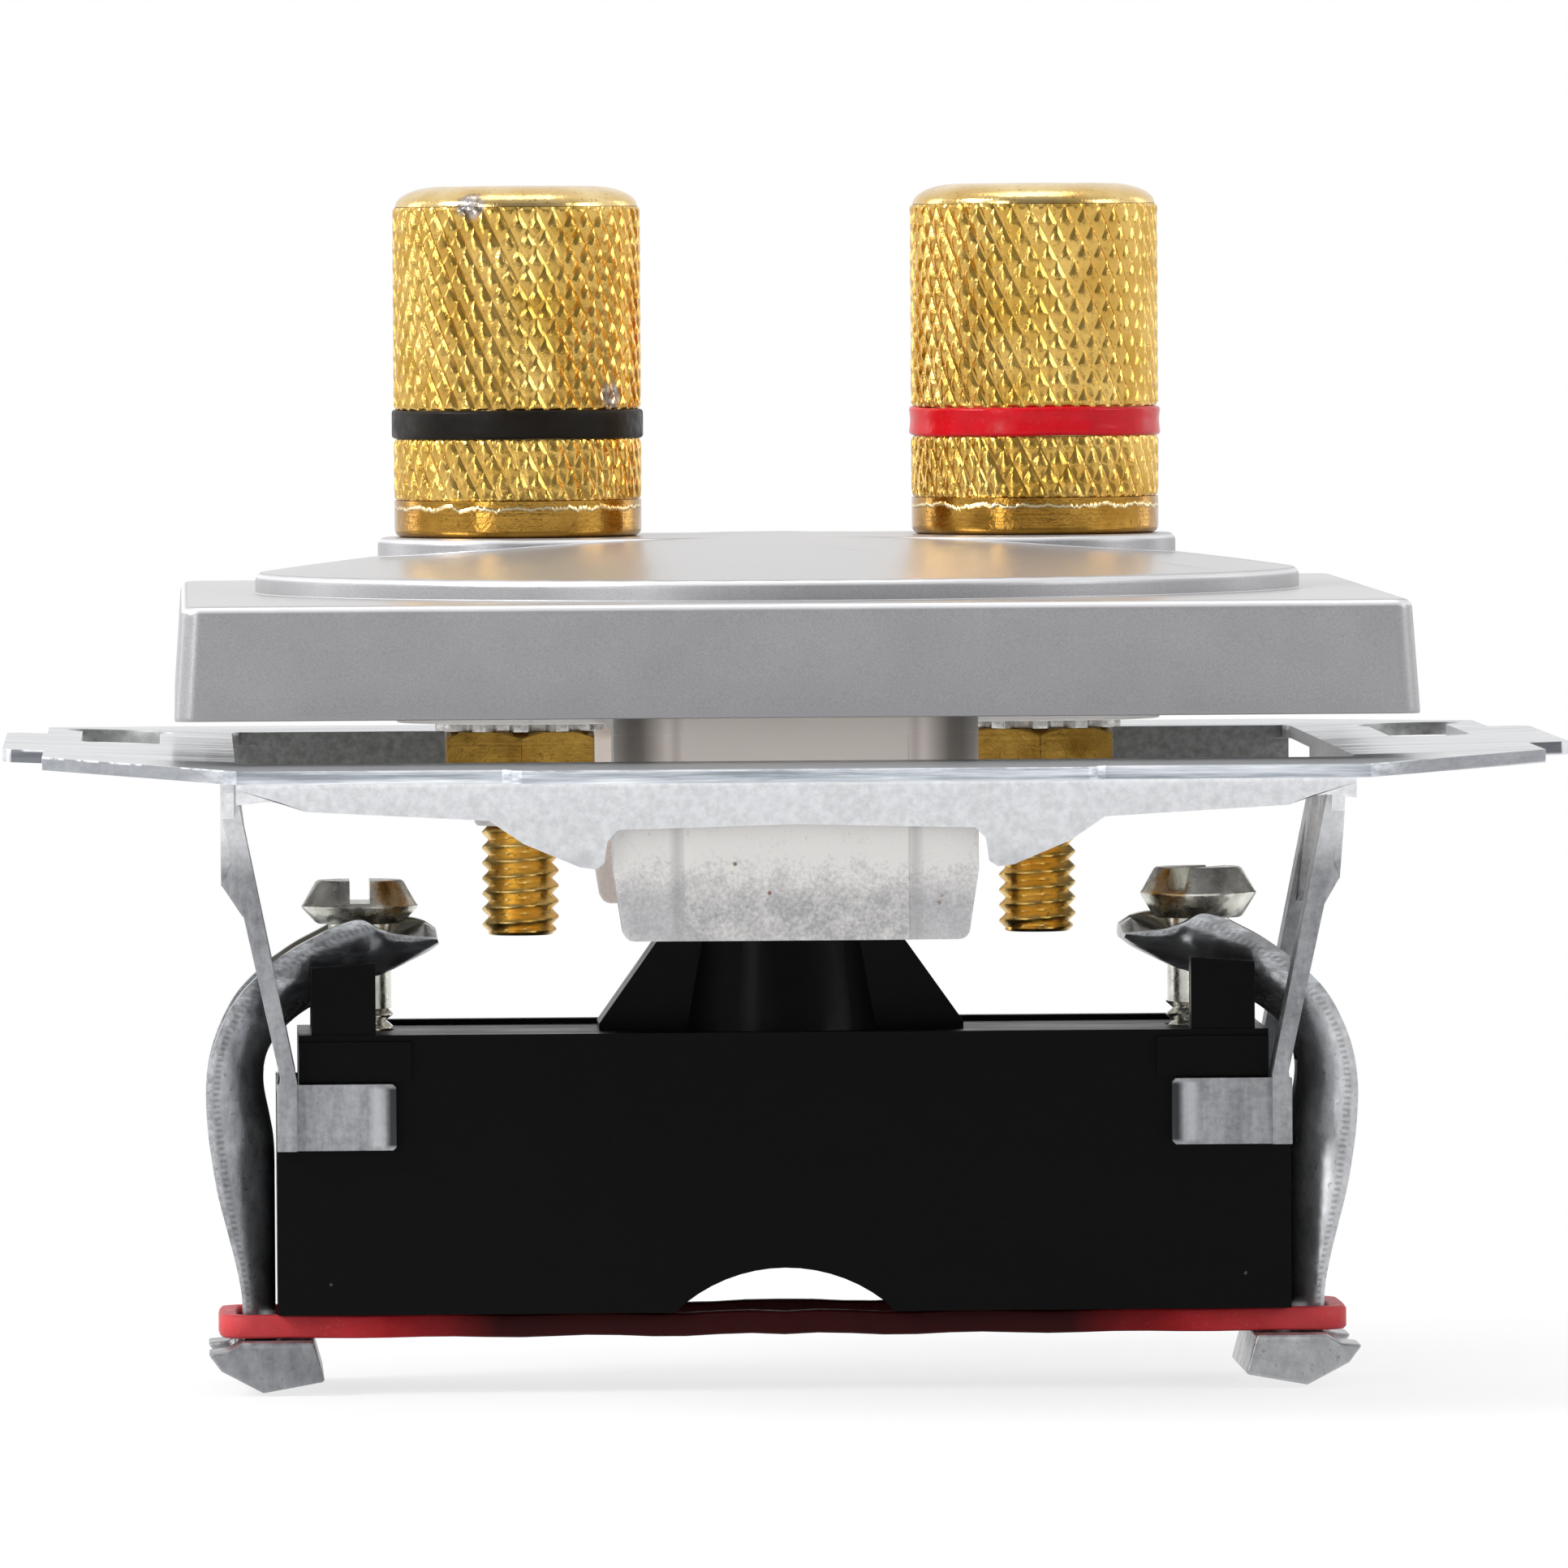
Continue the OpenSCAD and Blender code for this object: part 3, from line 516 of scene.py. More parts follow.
def nylon_look():
    """Milky nylon, powdered with grey over its lower half, with a few brown specks."""
    look = Look("nylon", (0.62, 0.61, 0.60), 0.0, 0.48)
    look.shader.inputs["Subsurface Weight"].default_value = 0.25
    look.shader.inputs["Subsurface Radius"].default_value = (1.2 * MM, 1.1 * MM, 1.0 * MM)
    look.shader.inputs["Subsurface Scale"].default_value = 1.0
    height = look.axis("Z")
    low = look.band(height, -OPEN, -3.4, 2.4)
    clouds = look.times(look.noise(1.1, 4, 0.6), 0.4)
    powder = look.calc("MULTIPLY_ADD", look.noise(5.5, 3, 0.7), 0.6, clouds)
    share = look.ramp(look.calc("MULTIPLY_ADD", low, 0.30, powder), (0.56, 0.0), (0.90, 1.0))
    base = look.mix(share, (0.68, 0.665, 0.645), (0.31, 0.305, 0.315))
    beside_tongue = look.calc("SUBTRACT", 1.0, look.band(look.axis("X"), -5.1, 5.1, 0.25))
    wings = look.times(beside_tongue, look.band(height, -OPEN, -4.2, 2.0))
    base = look.mix(look.times(wings, 0.45), base, (0.42, 0.42, 0.44))
    # painted light: the thin middle is painted lighter, with painted soft shadow beside it and along the tongue's sides
    side = look.across()
    upper = look.band(height, 0.2, OPEN, 0.4)
    painted_light_middle = look.times(upper, look.band(side, -OPEN, 7.0, 1.2))
    base = look.mix(painted_light_middle, base, (0.96, 0.91, 0.87))
    base = look.mix(look.times(upper, look.band(side, 5.6, 8.6, 1.2)), base, (0.28, 0.25, 0.22))
    base = look.mix(look.times(look.band(side, 4.9, 5.7, 0.35), 0.4), base, (0.26, 0.25, 0.25))
    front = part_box("spacer")[0].y / MM
    for x, z, radius in NYLON_SPECKS:
        base = look.mix(look.spot((x, front, z), radius, 0.07), base, (0.20, 0.11, 0.07))
    look.colour(base)
    # painted glow by emission on the back leg's front-facing faces and on the thin middle, standing in for light
    # through the nylon
    lit = look.times(look.band(look.axis("Y"), 17, OPEN, 2), look.band(look.facing("Y"), -OPEN, -0.5, 0.3))
    lit = look.calc("MAXIMUM", lit, look.times(painted_light_middle, 0.42))
    look.put(look.mix(lit, (0.0, 0.0, 0.0), (0.60, 0.49, 0.42)), look.shader.inputs["Emission Color"])
    look.shader.inputs["Emission Strength"].default_value = 0.45
    look.rough(look.ramp(powder, (0.35, 0.34), (0.7, 0.62)))
    look.bump(powder, 0.02, 0.7)
    return look


def plastic_look():
    """Black moulded plastic with a soft sheen, faint flow marks and dust."""
    look = Look("black plastic", (0.008, 0.008, 0.009), 0.0, 0.33)
    look.shader.inputs["Specular IOR Level"].default_value = 0.08
    dust = look.ramp(look.noise(6.0, 4, 0.7), (0.60, 0.0), (0.78, 0.4))
    base = look.mix(dust, (0.0022, 0.0022, 0.0025), (0.012, 0.012, 0.013))
    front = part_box("claw_carrier")[0].y / MM
    for x, z in ((-20.6, -23.6), (20.9, -23.4)):
        base = look.mix(look.spot((x, front, z), 0.13, 0.08), base, (0.30, 0.30, 0.31))
    look.colour(base)
    look.rough(look.ramp(look.noise(0.5, 4, stretch=(0.4, 1, 1.5)), (0.3, 0.28), (0.7, 0.42)))
    look.bump(look.noise(1.8, 4), 0.012, 0.7)
    look.bump(look.noise(0.3, 2), 0.05, 0.6)
    return look


def screw_look():
    """Yellowed zinc plating with brown stains on the head."""
    look = Look("screw plating", (0.55, 0.545, 0.50), 0.95, 0.22)
    tone = look.ramp(look.noise(1.1, 4), (0.35, 0.0), (0.65, 1.0))
    base = look.mix(tone, (0.48, 0.475, 0.42), (0.84, 0.83, 0.76))
    for x in (-17.6, 17.7):
        stain = look.times(look.spot((x, -2.0, -5.9), 0.75, 0.4), 0.8)
        base = look.mix(stain, base, (0.36, 0.20, 0.055))
    look.colour(base)
    look.rough(look.ramp(look.noise(2.2, 3), (0.3, 0.16), (0.7, 0.34)))
    look.bump(look.noise(2.6, 3), 0.02, 0.6)
    return look


def rubber_look(name, deep, pale, rough, cloud=0.5, dust=0.3, shine=0.4):
    look = Look(name, pale, 0.0, rough)
    look.shader.inputs["Specular IOR Level"].default_value = shine
    base = look.mix(look.ramp(look.noise(cloud, 4), (0.3, 0.0), (0.7, 1.0)), deep, pale)
    specks = look.ramp(look.noise(5.5, 3, 0.6), (0.60, 0.0), (0.75, dust))
    look.base = look.mix(specks, base, tuple(min(1, c * 0.5 + 0.15) for c in pale))
    look.colour(look.base)
    look.rough(look.ramp(look.noise(2.0, 3), (0.3, rough * 0.75), (0.7, rough * 1.35)))
    look.bump(look.noise(3.0, 4), 0.02, 0.7)
    return look


def band_look():
    """Red rubber band: dusted at its stretched ends, and painted nearly black in the middle as shade."""
    look = rubber_look("red rubber", (0.34, 0.010, 0.013), (0.50, 0.022, 0.028), 0.42, shine=0.1)
    across = look.across()
    middle = look.band(across, -OPEN, 20.0, 7.0)
    chalk = look.band(across, 18.0, OPEN, 6.0)
    # painted shade: the middle of the band is painted nearly black
    base = look.mix(look.times(middle, 0.96), look.base, (0.012, 0.001, 0.001))
    base = look.mix(look.times(chalk, 0.25), base, (0.60, 0.14, 0.15))
    look.colour(base)
    return look


KNOB_WEAR = ((-14.0, -5.1, 25.35), 0.5), ((-7.55, -3.75, 16.5), 0.5)
looks = {
    "cover": cover_look(),
    "nylon": nylon_look(),
    "zinc": zinc_look("zinc plating", (0.86, 0.865, 0.885), (0.70, 0.71, 0.725), 0.38, 0.26),
    # the left claw is the same steel as the right one, painted darker as shade
    "claw left": claw_look("claw steel left painted shade", (0.56, 0.575, 0.60), (0.24, 0.25, 0.265)),
    "claw right": claw_look("claw steel right", (0.82, 0.83, 0.85), (0.42, 0.43, 0.445)),
    "screw": screw_look(),
    "plastic": plastic_look(),
    "knurled gold": gold_look("knurled gold", (0.55, 0.315, 0.052), (0.78, 0.52, 0.15), 0.18, worn=KNOB_WEAR),
    "turned gold": turned_look("turned gold", (0.66, 0.43, 0.13), (0.86, 0.66, 0.32), 0.16, worn=KNOB_WEAR),
    "collar gold": collar_look(),
    # the threads' gold is painted much paler than the collar's, as painted light on the thread flanks
    "thread gold painted bright": gold_look("thread gold painted bright", (0.80, 0.49, 0.10), (0.99, 0.74, 0.28), 0.32),
    "brass": turned_look("brass", (0.19, 0.095, 0.014), (0.42, 0.25, 0.05), 0.2),
    "washer": zinc_look("washer plating", (0.82, 0.81, 0.79), (0.45, 0.44, 0.42), 0.28, 0.5),
    "ring black": rubber_look("black ring", (0.005, 0.0035, 0.0025), (0.010, 0.0075, 0.005), 0.4,
                              dust=0.03, shine=0.14),
    "ring red": rubber_look("red ring", (0.44, 0.002, 0.007), (0.57, 0.003, 0.012), 0.22, 0.8,
                            dust=0.15, shine=0.2),
    "band": band_look(),
}


def dress(obj, look):
    obj.data.materials.clear()
    obj.data.materials.append(looks[look].mat)


# ---------------------------------------------------------------- modelling helpers

def only(obj):
    """Makes obj the one selected and active object."""
    bpy.ops.object.select_all(action="DESELECT")
    obj.hide_set(False)
    obj.select_set(True)
    bpy.context.view_layer.objects.active = obj


def smooth(obj, angle=32, even=True):
    """Smooth shading up to angle; large flat faces keep their own direction."""
    only(obj)
    bpy.ops.object.shade_smooth_by_angle(angle=math.radians(angle))
    if even:
        modifier = obj.modifiers.new("normals", "WEIGHTED_NORMAL")
        modifier.mode = "FACE_AREA"
        modifier.keep_sharp = True
        bpy.ops.object.modifier_apply(modifier=modifier.name)


def bevel(obj, width, segments=2, angle=28):
    """Rounds the sharp edges by width millimetres."""
    only(obj)
    modifier = obj.modifiers.new("edges", "BEVEL")
    modifier.width = width * MM
    modifier.segments = segments
    modifier.limit_method = "ANGLE"
    modifier.angle_limit = math.radians(angle)
    modifier.miter_outer = "MITER_ARC"
    modifier.use_clamp_overlap = True
    bpy.ops.object.modifier_apply(modifier=modifier.name)


def outward(obj):
    only(obj)
    bpy.ops.object.mode_set(mode="EDIT")
    bpy.ops.mesh.select_all(action="SELECT")
    bpy.ops.mesh.normals_make_consistent(inside=False)
    bpy.ops.object.mode_set(mode="OBJECT")


def copy_of(node, name, flat=1.0):
    """A new object with a cleaned copy of a CAD node's mesh."""
    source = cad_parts[node]
    obj = bpy.data.objects.new(name, source.data.copy())
    bpy.context.scene.collection.objects.link(obj)
    only(obj)
    bpy.ops.object.mode_set(mode="EDIT")
    bpy.ops.mesh.select_all(action="SELECT")
    bpy.ops.mesh.remove_doubles(threshold=0.002 * MM)
    if flat:
        bpy.ops.mesh.dissolve_limited(angle_limit=math.radians(flat))
    bpy.ops.mesh.normals_make_consistent(inside=False)
    bpy.ops.object.mode_set(mode="OBJECT")
    if obj.data.has_custom_normals:
        bpy.ops.mesh.customdata_custom_splitnormals_clear()
    return obj


def new_mesh(name, points, faces):
    """A mesh object from points in millimetres."""
    mesh = bpy.data.meshes.new(name)
    mesh.from_pydata([[c * MM for c in p] for p in points], [], faces)
    mesh.update()
    obj = bpy.data.objects.new(name, mesh)
    bpy.context.scene.collection.objects.link(obj)
    return obj


def join(name, *objs):
    only(objs[0])
    for obj in objs[1:]:
        obj.select_set(True)
    bpy.ops.object.join()
    objs[0].name = name
    return objs[0]


def wall_faces(rings, sides):
    """Quads between neighbouring rings of so many points each."""
    faces = []
    for k in range(rings - 1):
        for i in range(sides):
            j = (i + 1) % sides
            faces.append((k * sides + i, k * sides + j, (k + 1) * sides + j, (k + 1) * sides + i))
    return faces


def round_point(x, r, angle, z):
    """Point at r from a vertical axis at x; angle 0 is the front."""
    return x + r * math.sin(angle), -r * math.cos(angle), z


def tube(name, x, rows, sides, radius):
    """Open round wall about a vertical axis at x.

    rows are heights, and radius(angle, z) gives each point's radius."""
    angles = [2 * math.pi * i / sides for i in range(sides)]
    points = [round_point(x, radius(angle, z), angle, z) for z in rows for angle in angles]
    return new_mesh(name, points, wall_faces(len(rows), sides))


def cut_away(obj, cutter):
    """Takes cutter's shape out of obj."""
    only(obj)
    cut = obj.modifiers.new("cut", "BOOLEAN")
    cut.operation = "DIFFERENCE"
    cut.object = cutter
    cut.solver = "EXACT"
    bpy.ops.object.modifier_apply(modifier=cut.name)
    bpy.data.objects.remove(cutter)


def slice_at(obj, z, **kept):
    """Cuts obj along a level plane; kept says what is cleared and filled."""
    only(obj)
    bpy.ops.object.mode_set(mode="EDIT")
    bpy.ops.mesh.select_all(action="SELECT")
    bpy.ops.mesh.bisect(plane_co=(0, 0, z * MM), plane_no=(0, 0, 1), **kept)
    bpy.ops.object.mode_set(mode="OBJECT")


def lathe(name, x, profile, sides=96):
    """Turned piece: profile is (radius, height) points, spun about a vertical axis at x."""
    angles = [2 * math.pi * i / sides for i in range(sides)]
    points = [round_point(x, r, angle, z) for r, z in profile for angle in angles]
    obj = new_mesh(name, points, wall_faces(len(profile), sides))
    only(obj)
    bpy.ops.object.mode_set(mode="EDIT")
    bpy.ops.mesh.select_all(action="SELECT")
    bpy.ops.mesh.remove_doubles(threshold=0.001 * MM)
    bpy.ops.object.mode_set(mode="OBJECT")
    return obj


def turn(centre, radius, start, end, steps):
    """Points of an arc in a profile, angles in degrees."""
    angles = [math.radians(start + (end - start) * i / steps) for i in range(steps + 1)]
    return [(centre[0] + radius * math.cos(a), centre[1] + radius * math.sin(a)) for a in angles]


def wave(value):
    """0 at whole numbers, 1 halfway between them."""
    return 1 - abs(2 * (value - math.floor(value)) - 1)


def jitter(a, b):
    """Small repeatable number from -1 to 1."""
    return math.sin(a * 12.9898 + b * 78.233) * 0.6 + math.sin(a * 4.1 + b * 9.7 + 1.3) * 0.4


# ---------------------------------------------------------------- knobs

LINES = 42
KNURL_PITCH = 1.63
KNOB_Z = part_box("knob_red")[0].z / MM
KNOB_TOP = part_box("knob_red")[1].z / MM
GROOVE_LOW, GROOVE_HIGH = 14.63, 15.98
CROWN_Z = KNOB_TOP - 0.97
R = KNOB_R / MM


def groove(value, width):
    """1 at whole numbers, falling to 0 at width on either side."""
    return max(0.0, 1 - abs(value - round(value)) / width)


def knurled_band(name, x, low, high, phase):
    """Round wall with a diamond knurl: deep lines one way and shallower ones the other.

    The grid's points lie on the lines of both ways, and each of its cells has a point in its middle."""
    steps = 8
    sides = LINES * steps
    rise = KNURL_PITCH / steps
    rows = math.ceil((high - low) / rise)

    def point(column, row):
        z = min(max(low + (row - 0.5) * rise, low), high)
        lean, climb = column / steps, (row - 0.5) / steps + phase
        cut = max(0.105 * groove(lean + climb, 0.27), 0.08 * groove(lean - climb, 0.25))
        # flanks fall away a little from each diamond's middle
        cut += 0.03 * groove(lean + climb, 0.5) + 0.012 * groove(lean - climb, 0.5)
        burr = 0.012 * jitter(math.floor(lean + climb), math.floor(lean - climb))
        rim = min(1, (min(z - low, high - z) + 0.02) / 0.17)
        r = R - 0.12 + (0.12 - cut + burr) * rim
        return round_point(x, r, 2 * math.pi * column / sides, z)

    points = [point(i, k) for k in range(rows + 2) for i in range(sides)]
    faces = []
    for k in range(rows + 1):
        for i in range(sides):
            a, b = k * sides + i, k * sides + (i + 1) % sides
            c, d = b + sides, a + sides
            middle = len(points)
            points.append(point(i + 0.5, k + 0.5))
            faces += [(a, b, middle), (b, c, middle), (c, d, middle), (d, a, middle)]
    return new_mesh(name, points, faces)


def knob(side, x):
    phase = 0.15 if x < 0 else 0.6
    low_band = knurled_band(f"knob_{side}_low_band", x, KNOB_Z, GROOVE_LOW, phase)
    high_band = knurled_band(f"knob_{side}_high_band", x, GROOVE_HIGH, CROWN_Z, phase + 0.3)
    knurled = join(f"knob_{side}_knurling", low_band, high_band)
    smooth(knurled, 17, False)
    dress(knurled, "knurled gold")
    reach, lip, rise = 2.15, 0.13, KNOB_TOP - CROWN_Z - 0.05
    wall, groove_floor, bore = R - 0.17, R - 0.75, 1.6
    shoulder = [(R - lip - reach * (1 - math.cos(a)), CROWN_Z + 0.02 + rise * math.sin(a))
                for a in [math.pi / 2 * i / 14 for i in range(15)]]
    crown = lathe(f"knob_{side}_crown", x,
                  [(R - 0.5, CROWN_Z - 0.2), (wall, CROWN_Z - 0.03)] + shoulder + [(0, KNOB_TOP)], 128)
    groove_wall = lathe(f"knob_{side}_groove", x, [(wall, GROOVE_LOW), (groove_floor, GROOVE_LOW),
                                                   (groove_floor, GROOVE_HIGH), (wall, GROOVE_HIGH)])
    foot = lathe(f"knob_{side}_foot", x, [(bore, KNOB_TOP - 2), (bore, KNOB_Z + 0.3), (1.9, KNOB_Z),
                                          (R - 0.3, KNOB_Z), (R - 0.18, KNOB_Z + 0.02)])
    body = join(f"knob_{side}_body", crown, groove_wall, foot)
    smooth(body, 40)
    dress(body, "turned gold")
    for piece in (knurled, body):
        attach(piece, f"turn_{side}")
        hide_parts(f"knob_{side}")


def colour_ring(side, x):
    low, high = (c.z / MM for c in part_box(f"colour_ring_{side}"))
    r = (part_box(f"colour_ring_{side}")[1].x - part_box(f"colour_ring_{side}")[0].x) / 2 / MM
    soft = 0.16
    outer = turn((r - soft, low + soft), soft, -90, 0, 5) + turn((r - soft, high - soft), soft, 0, 90, 5)
    middle = (low + high) / 2
    waist = 0.05 if side == "red" else 0.0
    hollow = [(r - waist * 0.7, middle - 0.25), (r - waist, middle), (r - waist * 0.7, middle + 0.25)]
    inner = r - 0.85
    ring = lathe(f"colour_ring_{side}_moulded", x,
                 [(inner, low)] + outer[:6] + hollow + outer[6:] + [(inner, high), (inner, low)], 144)
    # moulded rings are never quite round or level
    wobble = 0.022 if side == "red" else 0.012
    for vertex in ring.data.vertices:
        angle = math.atan2(vertex.co.x / MM - x, -vertex.co.y / MM)
        vertex.co.z += wobble * MM * (math.sin(3 * angle + 1) + 0.6 * math.sin(7 * angle))
    outward(ring)
    smooth(ring, 50)
    dress(ring, f"ring {side}")
    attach(ring, f"lift_{side}")
    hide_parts(f"colour_ring_{side}")


# ---------------------------------------------------------------- posts, nuts and washers

def thread(name, x, low, high, crest, root, pitch, end_chamfer, sides=64):
    """Threaded rod wall from low to high, chamfered at its lower end."""
    steps = max(8, round((high - low) / pitch * 10))
    rows = [low + (high - low) * i / steps for i in range(steps + 1)]

    def radius(angle, z):
        depth = crest - root
        r = root + depth * min(1, wave(z / pitch - angle / (2 * math.pi)) * 1.12)
        return min(r, crest - end_chamfer + (z - low) * 1.1)

    rim = [round_point(x, crest - end_chamfer, 2 * math.pi * i / sides, low) for i in range(sides)]
    wall = tube(name, x, rows, sides, radius)
    return join(name, wall, new_mesh(name + " end", rim, [tuple(reversed(range(sides)))]))


def post(side, x):
    """Collar and upper stud from the CAD post, with a threaded lower end."""
    upper = copy_of(f"post_{side}", f"post_{side}_collar")
    slice_at(upper, -3.0, clear_inner=True)
    bevel(upper, 0.12, 3, 40)
    smooth(upper, 35)
    dress(upper, "collar gold")
    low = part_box(f"post_{side}")[0].z / MM
    lower = thread(f"post_{side}_thread", x, low, -1.2, crest=1.75, root=1.43, pitch=0.7, end_chamfer=0.35)
    smooth(lower, 30)
    dress(lower, "thread gold painted bright")
    for piece in (upper, lower):
        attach(piece, "insert")
        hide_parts(f"post_{side}")


def small_parts(side, x):
    plain_copy(f"nut_{side}", f"nut_{side}_hexagon", "brass", 0.16, 3, 30)
    plain_copy(f"toothed_washer_{side}", f"toothed_washer_{side}_stamped", "washer",
               0.05, 3, 30)
    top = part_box(f"stud_sleeve_{side}")[1].z / MM
    bore, foot = 1.76, -3.0
    sleeve = lathe(f"stud_sleeve_{side}_moulded", x,
                   [(bore, top), (bore, foot), (1.95, foot), (2.05, foot + 0.1), (2.2, foot + 0.8),
                    (2.3, top - 0.1), (2.2, top), (bore, top)])
    outward(sleeve)
    smooth(sleeve, 34)
    dress(sleeve, "nylon")
    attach(sleeve, "insert")
    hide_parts(f"stud_sleeve_{side}")


# ---------------------------------------------------------------- cover, spacer and carrier

def plain_copy(node, name, look, width, segments=3, angle=28, body="insert", flat=1.0, shade=34):
    piece = copy_of(node, name, flat)
    bevel(piece, width, segments, angle)
    smooth(piece, shade)
    dress(piece, look)
    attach(piece, body)
    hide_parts(node)
    return piece


# ---------------------------------------------------------------- support ring

def support_ring():
    ring = copy_of("support_ring", "support_ring_sheet", 0)
    bevel(ring, 0.09, 2, 35)
    # the skirts run on to the arms
    for vertex in ring.data.vertices:
        if 23.9 * MM < abs(vertex.co.x) < 24.35 * MM and abs(vertex.co.y) > 23.2 * MM:
            vertex.co.x = math.copysign(24.82 * MM, vertex.co.x)
    # the ends of the sheet stand a little proud of the wall
    for sign, lift in ((-1, 0.040), (1, 0.024)):
        for vertex in ring.data.vertices:
            beyond = sign * vertex.co.x - 24.5 * MM
            if beyond > 0 and vertex.co.z > -0.5 * MM:
                vertex.co.z += beyond * lift
    smooth(ring, 30)
    dress(ring, "zinc")
    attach(ring, "insert")
    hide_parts("support_ring")


# ---------------------------------------------------------------- claws and their screws

# edges of a claw's walls, and the face of its web, from the foot up to the tongue's end
CLAW_RIM = [(24.6, -25.4), (24.65, -24.2), (24.9, -22.8), (25.3, -21.2), (25.7, -19.6), (26.0, -17.8),
            (26.15, -16.5), (26.2, -15.0), (26.0, -13.45), (25.5, -12.0), (24.7, -10.6), (23.5, -9.4),
            (22.3, -8.5), (21.1, -7.85), (20.2, -7.4), (19.14, -7.14), (18.3, -7.55), (17.3, -7.85),
            (16.3, -7.95), (15.65, -8.05)]
CLAW_REAR_RIM = CLAW_RIM[:16] + [(18.2, -7.16), (17.2, -7.22), (16.3, -7.4), (15.65, -7.8)]
CLAW_WEB = [(23.1, -25.4), (23.1, -24.2), (23.1, -22.8), (23.1, -21.2), (23.1, -19.4), (23.12, -17.4),
            (23.3, -16.2), (23.55, -14.9), (23.55, -13.9), (23.2, -12.9), (22.1, -11.75), (20.9, -11.0),
            (19.7, -10.45), (18.7, -10.0), (18.1, -9.73), (17.4, -9.4), (16.9, -9.15), (16.4, -8.9),
            (15.95, -8.65), (15.55, -8.35)]
CLAW_SCREW_X = 19.15


def curve_through(points, steps):
    """Smooth curve through points, with so many steps between two of them."""
    out = []
    for k in range(len(points) - 1):
        p0, p1, p2, p3 = (Vector(points[min(max(i, 0), len(points) - 1)]) for i in (k - 1, k, k + 1, k + 2))
        for i in range(steps):
            s = i / steps
            out.append(0.5 * (2 * p1 + (p2 - p0) * s + (2 * p0 - 5 * p1 + 4 * p2 - p3) * s * s
                              + (3 * p1 - p0 - 3 * p2 + p3) * s ** 3))
    return out + [Vector(points[-1])]


def claw_channel(side, sign):
    """The claw's channel: a section with fully rolled corners, swept from the foot to the tongue."""
    half = (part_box(f"claw_{side}")[1].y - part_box(f"claw_{side}")[0].y) / 2 / MM
    half = min(half, 3.5)
    sheet, reach, arc_steps = 1.1, 2.5, 9
    rims, rears, webs = (curve_through(c, 5) for c in (CLAW_RIM, CLAW_REAR_RIM, CLAW_WEB))
    points, notes = [], []
    length = 0.0
    for k, (rim, rear, web) in enumerate(zip(rims, rears, webs)):
        length += (rim - rims[max(k - 1, 0)]).length
        ring = []
        for edge, y_sign in ((rim, -1), (rear, 1)):
            depth = (web - edge).length
            outer, inner = [], []
            for i in range(arc_steps + 1):
                a = math.pi / 2 * i / arc_steps
                u = math.sin(a) ** 0.9
                drop = 1 - math.cos(a)
                roll = 1 + i / arc_steps
                outer.append((edge + (web - edge) * u, y_sign * (half - reach * drop), roll, 0.0))
                inner.append((edge + (web - edge) * (u * max(0.05, 1 - sheet / depth)),
                              y_sign * (half - sheet - (reach - sheet) * drop), roll, 1.0))
            ring.append((outer, inner))
        (front_out, front_in), (back_out, back_in) = ring
        loop = front_out + list(reversed(back_out)) + back_in + list(reversed(front_in))
        for place, y, roll, inside in loop:
            points.append((sign * place.x, y, place.y))
            notes.append((roll, length, inside))
    n = len(points) // len(rims)
    faces = wall_faces(len(rims), n)
    for k, flip in ((0, False), (len(rims) - 1, True)):
        q = n // 2
        for i in range(q - 1):
            quad = (k * n + i, k * n + i + 1, k * n + n - 2 - i, k * n + n - 1 - i)
            faces.append(tuple(reversed(quad)) if flip else quad)
    channel = new_mesh(f"claw_{side}_channel", points, faces)
    for name, index in (("roll", 0), ("along", 1), ("inner", 2)):
        layer = channel.data.attributes.new(name, "FLOAT", "POINT")
        layer.data.foreach_set("value", [note[index] for note in notes])
    outward(channel)
    return channel


def claw(side, sign):
    """Rolled channel with an oblong hole for its screw, and the toothed foot of the CAD claw."""
    channel = claw_channel(side, sign)
    bpy.ops.mesh.primitive_cylinder_add(vertices=40, radius=1.75 * MM, depth=9 * MM,
                                        location=(sign * CLAW_SCREW_X * MM, 0, -9.5 * MM))
    hole = bpy.context.object
    for vertex in hole.data.vertices:
        if sign * vertex.co.x > 0:
            vertex.co.x += sign * 3.25 * MM
    cut_away(channel, hole)
    foot = copy_of(f"claw_{side}", f"claw_{side}_foot", 0.5)
    slice_at(foot, -25.35, clear_outer=True, use_fill=True)
    bevel(foot, 0.14, 2, 38)
    piece = join(f"claw_{side}_pressed", channel, foot)
    smooth(piece, 40)
    dress(piece, f"claw {side}")
    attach(piece, f"claw_{side}")
    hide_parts(f"claw_{side}")


def claw_screw(side, sign):
    """Slotted screw: wedge head, plain shank and a coarse thread below."""
    x = sign * CLAW_SCREW_X
    seat, end, shank = -7.02, -11.3, 1.42
    # the left screw is driven a little deeper
    top = -5.12 if sign > 0 else -5.45
    head = lathe(f"claw_screw_{side}_head", x,
                 [(0, end), (shank, end), (shank, seat - 0.4), (1.9, seat - 0.4), (2.05, seat - 0.32),
                  (2.62, top - 1.28), (2.66, top - 1.16), (2.58, top - 1.06), (2.02, top - 0.08),
                  (1.9, top), (0, top)], 64)
    outward(head)
    bpy.ops.mesh.primitive_cube_add(size=1, location=(x * MM, 0, top * MM))
    slot = bpy.context.object
    slot.scale = (8 * MM, 0.92 * MM, 2 * MM)
    slot.rotation_euler = (0, 0, math.radians(62 if sign > 0 else 90))
    cut_away(head, slot)
    bevel(head, 0.09, 2, 35)
    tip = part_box(f"claw_screw_{side}")[0].z / MM
    threaded = thread(f"claw_screw_{side}_thread", x, tip, end + 0.05,
                      crest=1.5, root=1.18, pitch=0.6, end_chamfer=0.4, sides=48)
    piece = join(f"claw_screw_{side}_plated", head, threaded)
    smooth(piece, 32)
    dress(piece, "screw")
    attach(piece, f"claw_screw_{side}")
    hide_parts(f"claw_screw_{side}")


# ---------------------------------------------------------------- elastic band

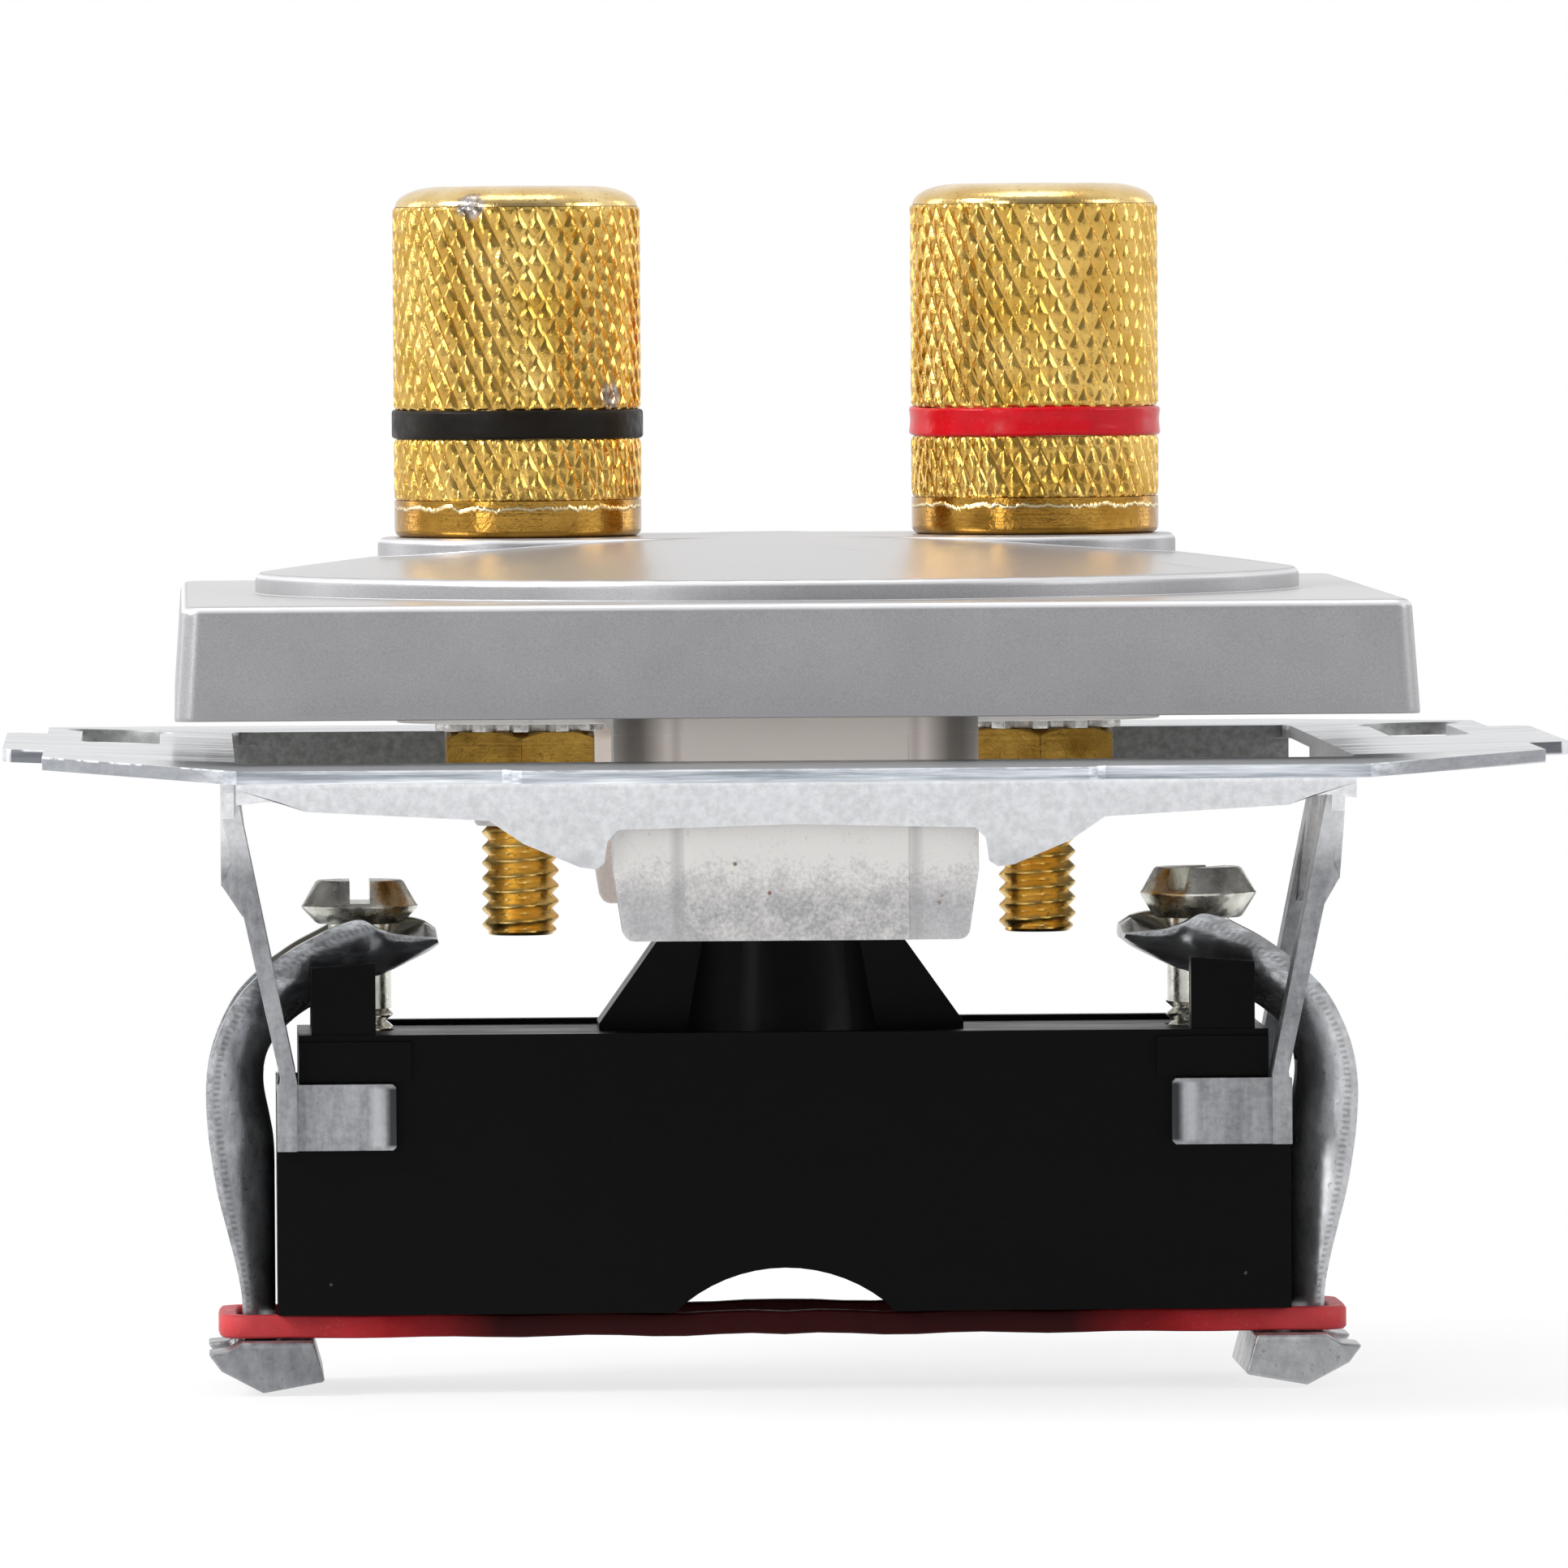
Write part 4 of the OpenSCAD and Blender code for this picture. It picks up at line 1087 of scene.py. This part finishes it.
def elastic_band():
    """Flat band round both claws, in two halves."""
    low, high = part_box("elastic_band")
    reach, depth = high.x / MM, high.y / MM
    bottom, top = low.z / MM, high.z / MM
    thick, corner, edge = 0.85, 1.5, 0.12
    for side, sign in (("left", -1), ("right", 1)):
        path = [(0, -depth)]
        path += [(i * 1.5, -depth + 0.05 * math.sin(i * 1.3)) for i in range(1, 16)]
        path += [(reach - corner + corner * math.sin(a), -depth + corner - corner * math.cos(a))
                 for a in [math.pi / 2 * i / 8 for i in range(9)]]
        path += [(reach + 0.06, 0)]
        path += [(x, -y) for x, y in reversed(path[:-1])]
        section = [(0.0, bottom + edge), (edge, bottom), (thick - edge, bottom), (thick, bottom + edge),
                   (thick, top - edge), (thick - edge, top), (edge, top), (0.0, top - edge)]
        points = []
        for k, (px, py) in enumerate(path):
            qx, qy = path[min(k + 1, len(path) - 1)]
            rx, ry = path[max(k - 1, 0)]
            dx, dy = qx - rx, qy - ry
            size = math.hypot(dx, dy)
            nx, ny = (0, -1 if py < 0 else 1) if k in (0, len(path) - 1) else (dy / size, -dx / size)
            sag = 0.07 * math.sin(px * 0.9 + (1 if py > 0 else 0)) * (1 - px / reach)
            for inset, z in section:
                points.append((sign * (px - nx * inset), py - ny * inset, z + sag))
        faces = wall_faces(len(path), len(section))
        if sign < 0:
            faces = [tuple(reversed(face)) for face in faces]
        half = new_mesh(f"elastic_band_{side}", points, faces)
        outward(half)
        smooth(half, 50)
        dress(half, "band")
        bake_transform(half)
        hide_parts("elastic_band")


for side, x in POSTS.items():
    x /= MM
    knob(side, x)
    colour_ring(side, x)
    post(side, x)
    small_parts(side, x)
plain_copy("cover_plate", "cover_plate_painted", "cover", 0.22, 3, 30)
plain_copy("spacer", "spacer_moulded", "nylon", 0.3, 3, 30)
plain_copy("claw_carrier", "claw_carrier_moulded", "plastic", 0.14, 2, 30)
support_ring()
for side, sign in (("left", -1), ("right", 1)):
    claw(side, sign)
    claw_screw(side, sign)
    plain_copy(f"claw_nut_{side}", f"claw_nut_{side}_square", "screw", 0.15, 2, 30)
plain_copy("fixing_screw", "fixing_screw_plated", "screw", 0.1, 2, 30)
elastic_band()
make_floor()
